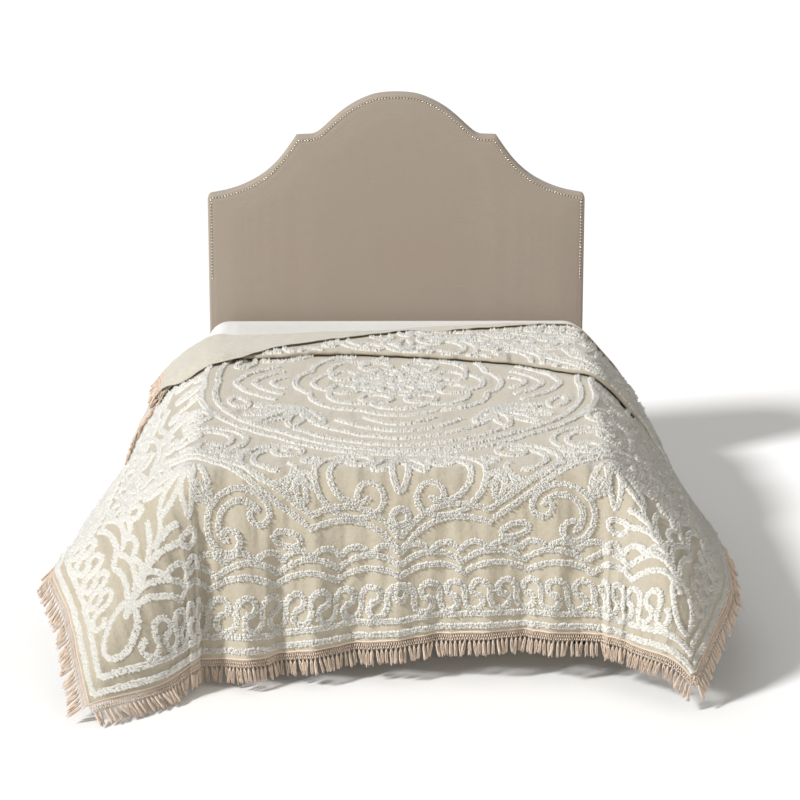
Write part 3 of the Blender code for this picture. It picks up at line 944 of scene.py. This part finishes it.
COTTON = ground_cloth("cotton_face", (0.530, 0.472, 0.362), (0.590, 0.535, 0.420), 0.08, 0.026)
REVERSE = ground_cloth("cotton_reverse", (0.720, 0.690, 0.585), (0.800, 0.775, 0.675), 0.40, 0.006)
BOARD_CLOTH = linen("headboard_linen", (0.370, 0.298, 0.250), (0.366, 0.317, 0.255), 3600.0)
BASE_CLOTH = linen("base_linen", (0.46, 0.41, 0.34), (0.50, 0.45, 0.38), 3000.0)
SHEET = linen("white_percale", (0.80, 0.80, 0.79), (0.86, 0.86, 0.85), 6000.0, sheen=0.05)
TUFT = grained(
    "tuft_yarn", (0.86, 0.842, 0.785), (0.90, 0.886, 0.835), 0.95,
    # The first noise darkens the low places between the clumps of pile: painted shade.
    ((260.0, 2.0, None, 0.10, 0.0030), (900.0, 3.0, None, 0, 0.0016)),
    patch=60.0, fleck=700.0, sheen=0.35,
)
YARN = grained(
    "fringe_yarn", (0.80, 0.64, 0.51), (0.90, 0.74, 0.61), 0.92,
    # Its noise darkens streaks between the strands: painted shade in the grooves of the yarn.
    ((700.0, 2.0, (1.0, 1.0, 0.5), 0.34, 0.0012),), patch=25.0, fleck=500.0, sheen=0.2,
)
NAIL = grained(
    "nail_head", (0.60, 0.55, 0.46), (0.74, 0.70, 0.62), 0.28,
    ((500.0, 2.0, None, 0, 0.0002),), metal=1.0, patch=80.0, fleck=900.0,
)
# The strip's near-black colour is painted shade between the nail heads.
NAIL_SHADE = grained(
    "nail_strip", (0.085, 0.072, 0.045), (0.130, 0.110, 0.070), 0.5,
    (), metal=0.5, patch=80.0, fleck=900.0,
)
WOOD = grained(
    "dark_wood", (0.055, 0.035, 0.025), (0.085, 0.055, 0.038), 0.45,
    ((60.0, 4.0, (6.0, 6.0, 0.4), 0.35, 0.0004),), patch=30.0, fleck=400.0,
)
FLOOR = grained("studio_floor", (0.93, 0.93, 0.93), (0.94, 0.94, 0.94), 0.9, (), patch=1.0, fleck=20.0)
print(len(bpy.data.materials), "materials")

# %% [markdown]
# ## The cloth
#
# A fine grid follows the plan through every fold: the skirts and top, under the pleat and back,
# over it, and the turned-back end. The tufted face and the plain reverse are the grid's two
# sides. Each point keeps its flat place as its UV, in metres, so the weave runs true.

# %% Grids
def grid_faces(at):
    """Four-cornered faces between the rows of a grid of point numbers."""
    return np.stack([at[:-1, :-1], at[:-1, 1:], at[1:, 1:], at[1:, :-1]], axis=-1).reshape(-1, 4)


def grid_edge(at):
    """The point numbers round the edge of a grid, in order."""
    return np.concatenate([at[0, :-1], at[:-1, -1], at[-1, :0:-1], at[:0:-1, 0]])


print("a grid of 3 by 3 points has", len(grid_faces(np.arange(9).reshape(3, 3))), "faces")

# %% Rows of the spread
FLAP_ROWS = 26
BENDS = np.radians((25, 50, 75, 105, 130, 155))
COLUMNS = np.concatenate([
    np.linspace(-SIDE_HEM, -FLAT_X, 48)[:-1],
    np.linspace(-FLAT_X, FLAT_X, 108)[:-1],
    np.linspace(FLAT_X, SIDE_HEM, 48),
])


def planned_rows(x):
    """Lines across the plan from the foot hem to the turned-back hem: x, y, lift and t."""
    one = np.ones_like(x)
    front, depth, head, hem, slide = (planned(name, x) for name in PLAN_COLUMNS[2:])
    back, turn = front + depth, LAYER / 2
    rows = []

    def add(px, y, lift, t):
        folds = np.clip(ripple(px, y) - ripple(px, y, 0.0), -1, 1)
        rows.append(np.stack([px, y, lift * one, t * one, folds]))

    for y in np.linspace(FOOT_HEM, -FLAT_Y, 44)[:-1]:
        add(x, let_down(x, y * one), 0, y)
    for share in np.linspace(0, 1, 82):
        y = -FLAT_Y + share * (back + FLAT_Y)
        add(x, y, 0, y)
    for a in BENDS:
        add(x, back + turn * np.sin(a), turn * (1 - np.cos(a)), back + turn * a)
    for share in np.linspace(0, 1, 12):
        add(x + slide * share, back - share * depth, LAYER, back + ARC + share * depth)
    drawn_in = x + slide
    for a in BENDS:
        t = front + 2 * depth + ARC + turn * a
        add(drawn_in, front - turn * np.sin(a), LAYER + turn * (1 - np.cos(a)), t)
    for share in np.linspace(0, 1, 34):
        y = front + share * (head - front)
        add(drawn_in, y, upper(x, y), y + 2 * depth + 2 * ARC)
    for a in BENDS:
        t = head + 2 * depth + 2 * ARC + turn * a
        add(drawn_in, head + turn * np.sin(a), upper(x, head) + turn * (1 - np.cos(a)), t)
    for share in np.linspace(0, 1, FLAP_ROWS):
        y = head + share * (hem - head)
        lift = upper(x, y) * ease(-0.09, 0.0, y - front) + LAYER
        add(drawn_in, y, lift, 2 * head + 2 * depth + 3 * ARC - y)
    return np.stack(rows, axis=1)


PLANNED = planned_rows(COLUMNS)
print("planned grid", PLANNED.shape[1:])


# %% The sheet
def sheet_mesh(name, planned, half):
    """A closed sheet from planned lines, with UVs in metres, face material 0 and reverse 1."""
    x, y, lift, t, folds = planned
    rows, columns = x.shape
    middle = hang(x, y, lift + folds)
    up = unit(np.cross(np.gradient(middle, axis=1), np.gradient(middle, axis=0)))
    sides = [(middle + h * up).reshape(-1, 3) for h in (half, -half)]
    flat = np.stack([np.broadcast_to(COLUMNS, x.shape), t], axis=-1).reshape(-1, 2)
    n = rows * columns
    at = np.arange(n).reshape(rows, columns)
    quads, edge = grid_faces(at), grid_edge(at)
    rim = np.stack([edge, edge + n, np.roll(edge, -1) + n, np.roll(edge, -1)], axis=1)
    faces = np.concatenate([quads, quads[:, ::-1] + n, rim])
    mesh = mesh_of(name, np.concatenate(sides), faces.tolist())
    uv = np.concatenate([flat, flat])[faces.ravel()]
    mesh.uv_layers.new(name="flat").data.foreach_set("uv", uv.ravel())
    mesh.materials.append(COTTON)
    mesh.materials.append(REVERSE)
    kinds = np.repeat([0, 1, 0], [len(quads), len(quads), len(rim)])
    mesh.polygons.foreach_set("material_index", kinds)
    mesh.set_sharp_from_angle(angle=math.radians(70))
    return mesh


spread = in_scene("spread_cloth", sheet_mesh("spread_cloth", PLANNED, FACE_LIFT))

# %% [markdown]
# ## The tufts
#
# Chenille pile is soft yarn sewn through the cloth, cut, and fluffed by washing. Seen close it
# is a ridge of small ragged heaps, so a nub here is an uneven heap about 11 mm across and
# 11 mm high. There are eight kinds, and the node group sets one on every point of the pattern.
# A nub has seven faces, because there are tens of thousands of them.

# %% Nubs on the pattern
def nub_mesh(name, seed, wide=0.0054, high=0.0112, sides=7):
    """A small uneven heap of pile, open where it meets the cloth."""
    dents = np.random.default_rng(seed)
    points = []
    for k in range(sides):
        angle = 2 * math.pi * k / sides
        r = wide * dents.uniform(0.80, 1.20)
        points.append((r * math.cos(angle), r * math.sin(angle), -0.20 * high))
    points.append((*dents.uniform(-0.2, 0.2, 2) * wide, high * dents.uniform(0.80, 1.20)))
    return mesh_of(name, points, [(k, (k + 1) % sides, sides) for k in range(sides)])


TOP_FROM = -0.93
NUBS = set_of("nub", [nub_mesh(f"nub_{k}", k) for k in range(8)])
u, t = tuft_uv[:, 0], tuft_uv[:, 1]
zones = {
    "tufts_left": u < -FLAT_X,
    "tufts_right": u > FLAT_X,
    "tufts_foot": (np.abs(u) <= FLAT_X) & (t < TOP_FROM),
    "tufts_top": (np.abs(u) <= FLAT_X) & (t >= TOP_FROM),
}
tufts = []
for seed, (name, zone) in enumerate(zones.items()):
    spots = (tuft_place[zone], tuft_up[zone])
    tufts.append(scattered(name, *spots, NUBS, TUFT, (0.80, 1.20), seed=seed))
    print(name, int(zone.sum()), "nubs,", len(tufts[-1].data.polygons), "faces")

# %% [markdown]
# ## The fringe
#
# A knotted heading: strands leave the hem in pairs, cross and are gathered into knots. A tassel
# of strands hangs from every knot. The heading goes on in the hem's own direction. Past it the
# fringe bends part of the way down, and stays off the floor. Where the hem lies on other cloth,
# as in the turned-back end, the fringe lies along that cloth.

# %% Guide lines of the fringe
HEADING, FLOOR_ROOM, STIFF = 0.012, 0.007, 0.70
NET_PITCH, NET_DEPTH = 0.0075, 0.027
NET_ROWS = (0.0, 0.009, 0.018, NET_DEPTH)
STRAND, HEADER = 0.00115, 0.0030


def fringe_guides(hem, inside, lying):
    """Seat, end of heading and tassel ends past a hem, from planned rows of x, y and lift."""
    along = unit(np.gradient(hem[:2], axis=1), axis=0)
    away = hem[:2] - inside[:2]
    away = unit(away - along * np.sum(away * along, axis=0), axis=0)
    for _ in range(4):
        away[:, 1:-1] = away[:, :-2] + 2 * away[:, 1:-1] + away[:, 2:]
        away = unit(away, axis=0)
    reaches = (-0.002, HEADING, FRINGE)
    seat, heading, flat_ends = (hang(*(hem[:2] + away * reach), hem[2]) for reach in reaches)
    level = unit((heading - seat)[:, :2])
    tassel = FRINGE - HEADING
    steep = (seat - heading)[:, 2] / np.linalg.norm(heading - seat, axis=-1)
    hanging = np.minimum(1 - STIFF + STIFF * steep, 0.995)
    room = np.clip((heading[:, 2] - FLOOR_ROOM) / tassel, 0, hanging)[:, None]
    ends = heading + tassel * np.concatenate([level * np.sqrt(1 - room**2), -room], axis=1)
    return np.stack([seat, heading, ends + (flat_ends - ends) * lying[:, None]])


def fringe_points(guides, at, depth):
    """Points at arc lengths `at` along a fringe and `depth` down it."""
    reach = reach_of(guides[0])
    seat, heading, ends = (points_at(line, reach, at) for line in guides)
    if depth < HEADING:
        return seat + (heading - seat) * (depth / HEADING)
    return heading + (ends - heading) * ((depth - HEADING) / (FRINGE - HEADING))


def tubes(paths, radius, sides):
    """One mesh of thin tubes along many paths of the same number of points."""
    paths = np.asarray(paths)
    count, steps = paths.shape[:2]
    along = unit(np.gradient(paths, axis=1))
    helper = np.where(np.abs(along[..., 2:3]) > 0.8, [[[1.0, 0, 0]]], [[[0, 0, 1.0]]])
    u = unit(np.cross(along, helper))
    v = np.cross(along, u)
    angle = np.arange(sides) * 2 * math.pi / sides
    ringed = paths[:, :, None] + radius * (
        u[:, :, None] * np.cos(angle)[:, None] + v[:, :, None] * np.sin(angle)[:, None]
    )
    at = np.arange(count * steps * sides).reshape(count, steps, sides)
    a, b = at[:, :-1], at[:, 1:]
    quads = np.stack([a, np.roll(a, -1, 2), np.roll(b, -1, 2), b], axis=-1).reshape(-1, 4)
    caps = np.concatenate([at[:, 0, ::-1], at[:, -1]])
    return ringed.reshape(-1, 3), quads.tolist() + caps.tolist()


def lies(column):
    """How far a side hem lies on other cloth, 0 to 1, line by line."""
    lying = np.clip((SIDE_HEM - np.abs(PLANNED[0, :, column])) / FRINGE, 0, 1)
    lying[-FLAP_ROWS:] = 1
    return lying


HEM_ROWS = {
    "fringe_foot": (PLANNED[:, 0], PLANNED[:, 1], np.zeros(len(COLUMNS))),
    "fringe_left": (PLANNED[:, :, 0], PLANNED[:, :, 1], lies(0)),
    "fringe_right": (PLANNED[:, :, -1], PLANNED[:, :, -2], lies(-1)),
}


def on_cloth(rows):
    """x, y and lift with the creases added, from planned rows."""
    return np.stack([rows[0], rows[1], rows[2] + rows[4]])


GUIDES = {
    name: fringe_guides(on_cloth(hem), on_cloth(inside), lying)
    for name, (hem, inside, lying) in HEM_ROWS.items()
}
for name, guides in GUIDES.items():
    print(name, round(float(reach_of(guides[0])[-1]), 2), "m long")


# %% Net, knots and tassels
def tassel_mesh(name, seed, cords=7, length=0.051):
    """A tassel that hangs from the origin: strands side by side that spread below its neck."""
    drift = np.random.default_rng(seed)
    down = np.linspace(0, 1, 6)
    paths = []
    for k in range(cords):
        angle = 2 * math.pi * (k + drift.uniform(-0.2, 0.2)) / cords
        opened = (0.0012 + 0.0036 * ease(0.0, 0.25, down)) * drift.uniform(0.75, 1.15)
        bend = 0.0012 * np.sin(7 * down + drift.uniform(0, 6)) * down
        x = math.cos(angle) * opened + bend
        y = math.sin(angle) * opened * 0.6 + bend
        paths.append(np.stack([x, y, -length * drift.uniform(0.80, 1.0) * down], 1))
    points, faces = tubes(paths, 0.0018, 3)
    return mesh_of(name, points, faces)


TASSELS = set_of("tassel", [tassel_mesh(f"tassel_{k}", 20 + k) for k in range(8)])
KNOTS = set_of("knot", [nub_mesh(f"knot_{k}", 40 + k, 0.0026, 0.0040) for k in range(3)])


def make_fringe(name, guides):
    """The net as tubes, with knots and tassels from the node group, joined into one piece."""
    length = reach_of(guides[0])[-1]
    count = int((length - 0.01) / (2 * NET_PITCH)) * 2
    pitch = length / count
    start = np.arange(count + 1.0)
    paths = []
    for lean in (-0.5, 0.5):
        points = []
        for k, depth in enumerate(NET_ROWS):
            at = start + lean * k if k < 3 else 2 * np.floor((start + lean * k) / 2) + 1
            place = fringe_points(guides, np.clip(at, 0, count) * pitch, depth)
            points.append(place + rng.normal(0, 0.0004, place.shape))
        paths.append(np.stack(points, axis=1))
    strands = tubes(np.concatenate(paths), STRAND, 3)
    edge = tubes(fringe_points(guides, np.arange(0, length, 0.012), 0.0)[None], HEADER, 5)
    pieces = [in_scene(name + "_net", mesh_of(name + "_net", *net)) for net in (strands, edge)]
    gathered = np.arange(1, count, 2)
    knots = fringe_points(guides, gathered * pitch, NET_DEPTH)
    up = unit(knots - fringe_points(guides, gathered * pitch, FRINGE))
    up += rng.normal(0, 0.10, up.shape)
    sideways = np.gradient(knots, axis=0)
    pieces.append(scattered(name + "_tassels", knots, up, TASSELS, YARN, (0.90, 1.0), 0.5, 3, sideways))
    crossings = [fringe_points(guides, (start[:-1] + 0.5) * pitch, NET_ROWS[1])]
    crossings.append(fringe_points(guides, start[1:-1] * pitch, NET_ROWS[2]))
    ties = np.concatenate(crossings + [knots])
    facing = np.tile([0, -0.7, 0.7], (len(ties), 1))
    pieces.append(scattered(name + "_knots", ties, facing, KNOTS, YARN, (0.8, 1.2), seed=4))
    return joined(name + "_strands", pieces)


def joined(name, pieces):
    """Several pieces of yarn as one."""
    bm = bmesh.new()
    for piece in pieces:
        bm.from_mesh(piece.data)
        bpy.data.objects.remove(piece)
    mesh = bpy.data.meshes.new(name)
    bm.to_mesh(mesh)
    bm.free()
    mesh.materials.append(YARN)
    mesh.shade_smooth()
    return in_scene(name, mesh)


fringes = {name: make_fringe(name, guides) for name, guides in GUIDES.items()}
for name, piece in fringes.items():
    print(name, len(piece.data.polygons), "faces")

# %% [markdown]
# ## The bed
#
# A mattress in a white fitted sheet, a covered base, and a padded linen headboard with a row of
# nail heads on a dark strip along its edge; the strip's dark colour is painted shade between the
# heads. Little of them shows past the spread, but each is whole. Blocks are lofted through rounded
# rings; the headboard is a grid cut to its outline.

# %% Rounded blocks
QUARTERS = ((1, 1), (-1, 1), (-1, -1), (1, -1))
SMALLEST_CORNER = 0.004


def rounded_ring(half_x, half_y, inset, corner, z, per_corner=14, per_side=30):
    """A rounded rectangle of points at one height."""
    r = max(corner - inset, SMALLEST_CORNER)
    corner_x, corner_y = half_x - inset - r, half_y - inset - r
    points = []
    for k, (east, north) in enumerate(QUARTERS):
        start = k * math.pi / 2
        for a in np.linspace(start, start + math.pi / 2, per_corner):
            round_x, round_y = r * math.cos(a), r * math.sin(a)
            points.append((east * corner_x + round_x, north * corner_y + round_y, z))
        x, y, _ = points[-1]
        east, north = QUARTERS[(k + 1) % 4]
        end_x, end_y = east * corner_x + round_x, north * corner_y + round_y
        for f in np.linspace(0, 1, per_side)[1:-1]:
            points.append((x + (end_x - x) * f, y + (end_y - y) * f, z))
    return np.array(points)


def lofted(name, rings, material):
    """A closed block through rings of points, capped at both ends."""
    at = np.arange(len(rings) * len(rings[0])).reshape(len(rings), -1)
    faces = grid_faces(np.column_stack([at, at[:, 0]])).tolist()
    faces += [at[0, ::-1].tolist(), at[-1].tolist()]
    block = in_scene(name, mesh_of(name, np.concatenate(rings), faces))
    block.data.materials.append(material)
    print(name, len(block.data.polygons), "faces")
    return block


# %% Mattress in its sheet
UNDER_RADIUS, TOP_RADIUS, MATTRESS_CORNER = 0.05, 0.08, 0.085
SHEET_ROOM = 0.004  # how far the sheet's gathers and waves start inside the block
low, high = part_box("mattress")
half_x, half_y = (high[0] - low[0]) / 2, (high[1] - low[1]) / 2
bottom, top = low[2], high[2]
profile = [(0.30, bottom + 0.001), (0.09, bottom + 0.001)]
for a in np.linspace(0.2, 1.57, 6):
    profile.append((UNDER_RADIUS * (1 - math.sin(a)), bottom + UNDER_RADIUS * (1 - math.cos(a))))
profile += [(0.0, z) for z in np.linspace(bottom + 0.06, top - 0.09, 8)]
for a in np.linspace(0, 1.57, 9):
    profile.append((TOP_RADIUS * (1 - math.cos(a)), top - TOP_RADIUS * (1 - math.sin(a))))
profile += [(inset, top - 0.0004) for inset in (0.13, 0.20, 0.45)]
rings = []
for inset, z in profile:
    points = rounded_ring(half_x, half_y, inset, MATTRESS_CORNER, z)
    x, y = points[:, 0], points[:, 1]
    corner = ease(0.45, 0.62, np.abs(x)) * ease(0.72, 0.90, np.abs(y))
    level = ease(bottom, bottom + 0.02, z) * ease(0, 0.05, top - z)
    angle = np.arctan2(np.abs(y) - 0.86, np.abs(x) - 0.60)
    gathers = 0.0035 * np.sin(angle * 22 + 3 * noise(y * 9, z * 20)) * corner
    waves = 0.0020 * noise(x * 7 + y * 9, z * 14 + 0 * x)
    points[:, :2] += unit(points[:, :2]) * ((gathers + waves - SHEET_ROOM) * level)[:, None]
    rings.append(points)
mattress = lofted("mattress_sheeted", rings, SHEET)

# %% Covered base
PIPING, BASE_CORNER = 0.0022, 0.022
low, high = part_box("base")
middle_y = (low[1] + high[1]) / 2
half_x, half_y = (high[0] - low[0]) / 2, (high[1] - low[1]) / 2
bottom, top = low[2], high[2]
profile = [(0.20, bottom + 0.001), (0.012, bottom + 0.001), (0.003, bottom + 0.004)]
profile += [(0.0, bottom + 0.012), (0.0, bottom + 0.030)]
profile += [(PIPING, bottom + 0.034), (0.0, bottom + 0.038)]
profile += [(0.0, z) for z in np.linspace(bottom + 0.05, top - 0.045, 5)]
profile += [(0.0, top - 0.030), (PIPING, top - 0.026), (0.0, top - 0.022)]
profile += [(0.003, top - 0.004), (0.012, top - 0.0008), (0.20, top - 0.0008)]
rings = [rounded_ring(half_x, half_y, inset, BASE_CORNER, z) for inset, z in profile]
rings = [points + (0, middle_y, 0) for points in rings]
base = lofted("base_covered", rings, BASE_CLOTH)

# %% Outline of the headboard
HALF_WIDTH, BOTTOM, CORNER = 0.684, 0.300, 0.018
# the top edge's right half, as (x, z)
CROWN = (
    (0.000, 1.457), (0.030, 1.456), (0.070, 1.451), (0.110, 1.438), (0.150, 1.419), (0.190, 1.393),
    (0.230, 1.359), (0.260, 1.331), (0.283, 1.312), (0.305, 1.303), (0.360, 1.301),
)
SHOULDER = (
    (0.360, 1.301), (0.380, 1.271), (0.400, 1.243), (0.420, 1.217), (0.445, 1.190),
    (0.480, 1.160), (0.520, 1.135), (0.570, 1.112), (0.620, 1.097), (0.666, 1.088),
)


def board_outline():
    """Right half of the headboard's top edge, from the middle of the crown to the side."""
    points = []
    for table, count in ((CROWN, 40), (SHOULDER, 36)):
        x = np.linspace(table[0][0], table[-1][0], count)
        points += list(zip(x, smooth_curve(*np.array(table).T, x)))[:-1]
    for angle in np.linspace(0, math.pi / 2, 9):
        drop = CORNER * (1 - math.cos(angle))
        points.append((HALF_WIDTH - CORNER * (1 - math.sin(angle)), SHOULDER[-1][1] - drop))
    return np.array(points)


half_line = board_outline()
top_line = np.concatenate([half_line[::-1] * (-1, 1), half_line[1:]])
whole_line = np.concatenate([[(-HALF_WIDTH, BOTTOM)], top_line, [(HALF_WIDTH, BOTTOM)]])
FACE_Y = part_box("headboard")[0][1]


def edge_distance(points):
    """How far each (x, z) point is inside the outline."""
    best = np.full(len(points), 9.0)
    for start, end in zip(whole_line, np.roll(whole_line, -1, axis=0)):
        step = end - start
        f = np.clip(((points - start) @ step) / max(step @ step, 1e-12), 0, 1)
        best = np.minimum(best, np.linalg.norm(points - start - np.outer(f, step), axis=1))
    return best


def set_back(x):
    """How much the padding falls away towards the sides."""
    return 0.010 * (np.abs(x) / HALF_WIDTH) ** 4


print("headboard outline", len(whole_line), "points")

# %% Padded headboard
NAIL_INSET, NAIL_PITCH, NAILS_FROM = 0.0135, 0.0112, 0.775
NEAR = np.array([0, 0.0015, 0.004, 0.008, 0.013, 0.020, 0.030, 0.045])  # grid lines at an edge
PLAIN_FROM = 0.06
EDGE_ROUND = 0.014
GROOVE, GROOVE_WIDE = 0.0024, 0.0045
SIDES = ((0.030, 0.0), (0.066, 0.0), (0.0695, 0.004))  # how far back, and how much smaller
BOARD_CENTRE = np.array([0, 0, 0.9])


def board_mesh():
    """Front grid rounded over at the edge, the sides, and a flat back."""
    span = np.linspace(-HALF_WIDTH + PLAIN_FROM, HALF_WIDTH - PLAIN_FROM, 110)
    xs = np.concatenate([-HALF_WIDTH + NEAR, span, HALF_WIDTH - NEAR[::-1]])
    tops = np.interp(xs, top_line[:, 0], top_line[:, 1])
    rows = [BOTTOM + d + 0 * xs for d in NEAR]
    rows += [BOTTOM + f * (tops - BOTTOM) for f in np.linspace(PLAIN_FROM, 1 - PLAIN_FROM, 40)]
    rows += [tops - d for d in NEAR[::-1]]
    z = np.array(rows)
    x = np.broadcast_to(xs, z.shape).ravel()
    depth = edge_distance(np.stack([x, z.ravel()], axis=1))
    over = np.sqrt(np.maximum(EDGE_ROUND * EDGE_ROUND - (EDGE_ROUND - depth) ** 2, 0))
    bent = np.where(depth < EDGE_ROUND, EDGE_ROUND - over, 0)
    groove = GROOVE * np.exp(-(((depth - NAIL_INSET) / GROOVE_WIDE) ** 2))
    soft = 0.0035 * (1 - ease(0.015, 0.10, depth)) + set_back(x)
    front = np.stack([x, FACE_Y + bent + groove + soft - 0.001, z.ravel()], axis=1)
    at = np.arange(z.size).reshape(z.shape)
    points, faces = [front], grid_faces(at).tolist()
    last = edge = grid_edge(at)
    for back, smaller in SIDES:
        ring_points = BOARD_CENTRE + (front[edge] - BOARD_CENTRE) * (1 - smaller)
        ring_points[:, 1] = FACE_Y + back
        new = np.arange(len(edge)) + sum(len(p) for p in points)
        points.append(ring_points)
        quads = np.stack([last, np.roll(last, -1), np.roll(new, -1), new], axis=1)
        faces += quads[:, ::-1].tolist()
        last = new
    faces.append(last[::-1].tolist())
    return mesh_of("headboard_padded", np.concatenate(points), faces)


board = in_scene("headboard_padded", board_mesh())
board.data.set_sharp_from_angle(angle=math.radians(50))
board.data.materials.append(BOARD_CLOTH)
print("headboard", len(board.data.polygons), "faces")


# %% Nail heads
def inset_line(line, inset):
    """The outline moved inwards, with the points that cross over left out."""
    moved = line - inset * left_of(unit(np.gradient(line, axis=0)))
    return moved[edge_distance(moved) > inset * 0.93]


def nail_mesh(name, radius=0.0037, low=0.75, around=10):
    """A low dome, open at the back."""
    points = [(0, 0, low * radius)]
    for tilt in np.radians((30, 60, 90)):
        for a in 2 * math.pi * np.arange(around) / around:
            wide = radius * math.sin(tilt)
            points.append((wide * math.sin(a), wide * math.cos(a), low * radius * math.cos(tilt)))
    at = np.arange(1, len(points)).reshape(3, around)
    at = np.column_stack([at, at[:, 0]])
    cap = [(0, b, a) for a, b in zip(at[0, :-1].tolist(), at[0, 1:].tolist())]
    return mesh_of(name, points, cap + grid_faces(at).tolist())


NAIL_SUNK, FINE_STEP = 0.0042, 0.004
dense = []
for a, b in zip(whole_line[:-1], whole_line[1:]):
    steps = max(int(np.linalg.norm(b - a) / FINE_STEP), 1)
    dense += [a + (b - a) * k / steps for k in range(steps)]
nail_line = inset_line(np.array(dense), NAIL_INSET)
nail_line = nail_line[nail_line[:, 1] > NAILS_FROM]
reach = reach_of(nail_line)
at = np.arange(0, reach[-1], NAIL_PITCH)
nails_xz = points_at(nail_line, reach, at)
nail_y = FACE_Y + NAIL_SUNK + set_back(nails_xz[:, 0])
nail_places = np.stack([nails_xz[:, 0], nail_y, nails_xz[:, 1]], axis=1)
NAILS = set_of("nail", [nail_mesh("nail_0")])
facing = np.tile([0, -1.0, 0], (len(at), 1))
nails = scattered("nail_heads", nail_places, facing, NAILS, NAIL, (0.97, 1.03), seed=5)
print(len(at), "nail heads")

# %% Strip under the nails
# The strip is dark so as to paint the shade between the nail heads.
STRIP_EDGES = ((-0.0036, 0.0016), (-0.0028, 0.0), (0.0028, 0.0), (0.0036, 0.0016))
across = left_of(unit(np.gradient(nails_xz, axis=0)))
rows = []
for offset, sunk in STRIP_EDGES:
    edge = nails_xz + offset * across
    rows.append(np.stack([edge[:, 0], nail_y + 0.0004 + sunk, edge[:, 1]], axis=1))
quads = grid_faces(np.arange(4 * len(at)).reshape(4, -1))[:, [0, 3, 2, 1]]
strip = in_scene("nail_strip", mesh_of("nail_strip", np.concatenate(rows), quads.tolist()))
strip.data.materials.append(NAIL_SHADE)
print("nail strip", len(quads), "faces")

# %% Legs and feet, and the floor
wooden = [name for name in frame["nodes"] if name.startswith("foot_") or "leg" in name]
for name in wooden:
    for material_slot in bpy.data.objects[name].material_slots:
        material_slot.material = WOOD
print("wood on", wooden)
bpy.ops.mesh.primitive_plane_add(size=60)
floor = bpy.context.object
floor.name = "studio_floor"
floor.data.materials.append(FLOOR)
floor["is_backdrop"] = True

# %% [markdown]
# ## Putting it together
#
# Each new piece rides on the root body, and the CAD parts that they stand for are hidden. The
# number of faces and the size of the finished model are printed.

# %% Riding, and the hidden parts
for piece in [spread, mattress, base, board, nails, strip, *tufts, *fringes.values()]:
    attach(piece, "root")
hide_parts("bedspread")
for name, piece in fringes.items():
    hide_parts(name)
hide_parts("mattress")
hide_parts("base")
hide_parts("headboard")
total = sum(len(o.data.polygons) for o in bpy.data.objects if o.type == "MESH")
print("faces in the scene:", total)

# %% Sizes, and finish
low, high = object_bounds()
print("model box", [round(float(v), 3) for v in (*low, *high)])
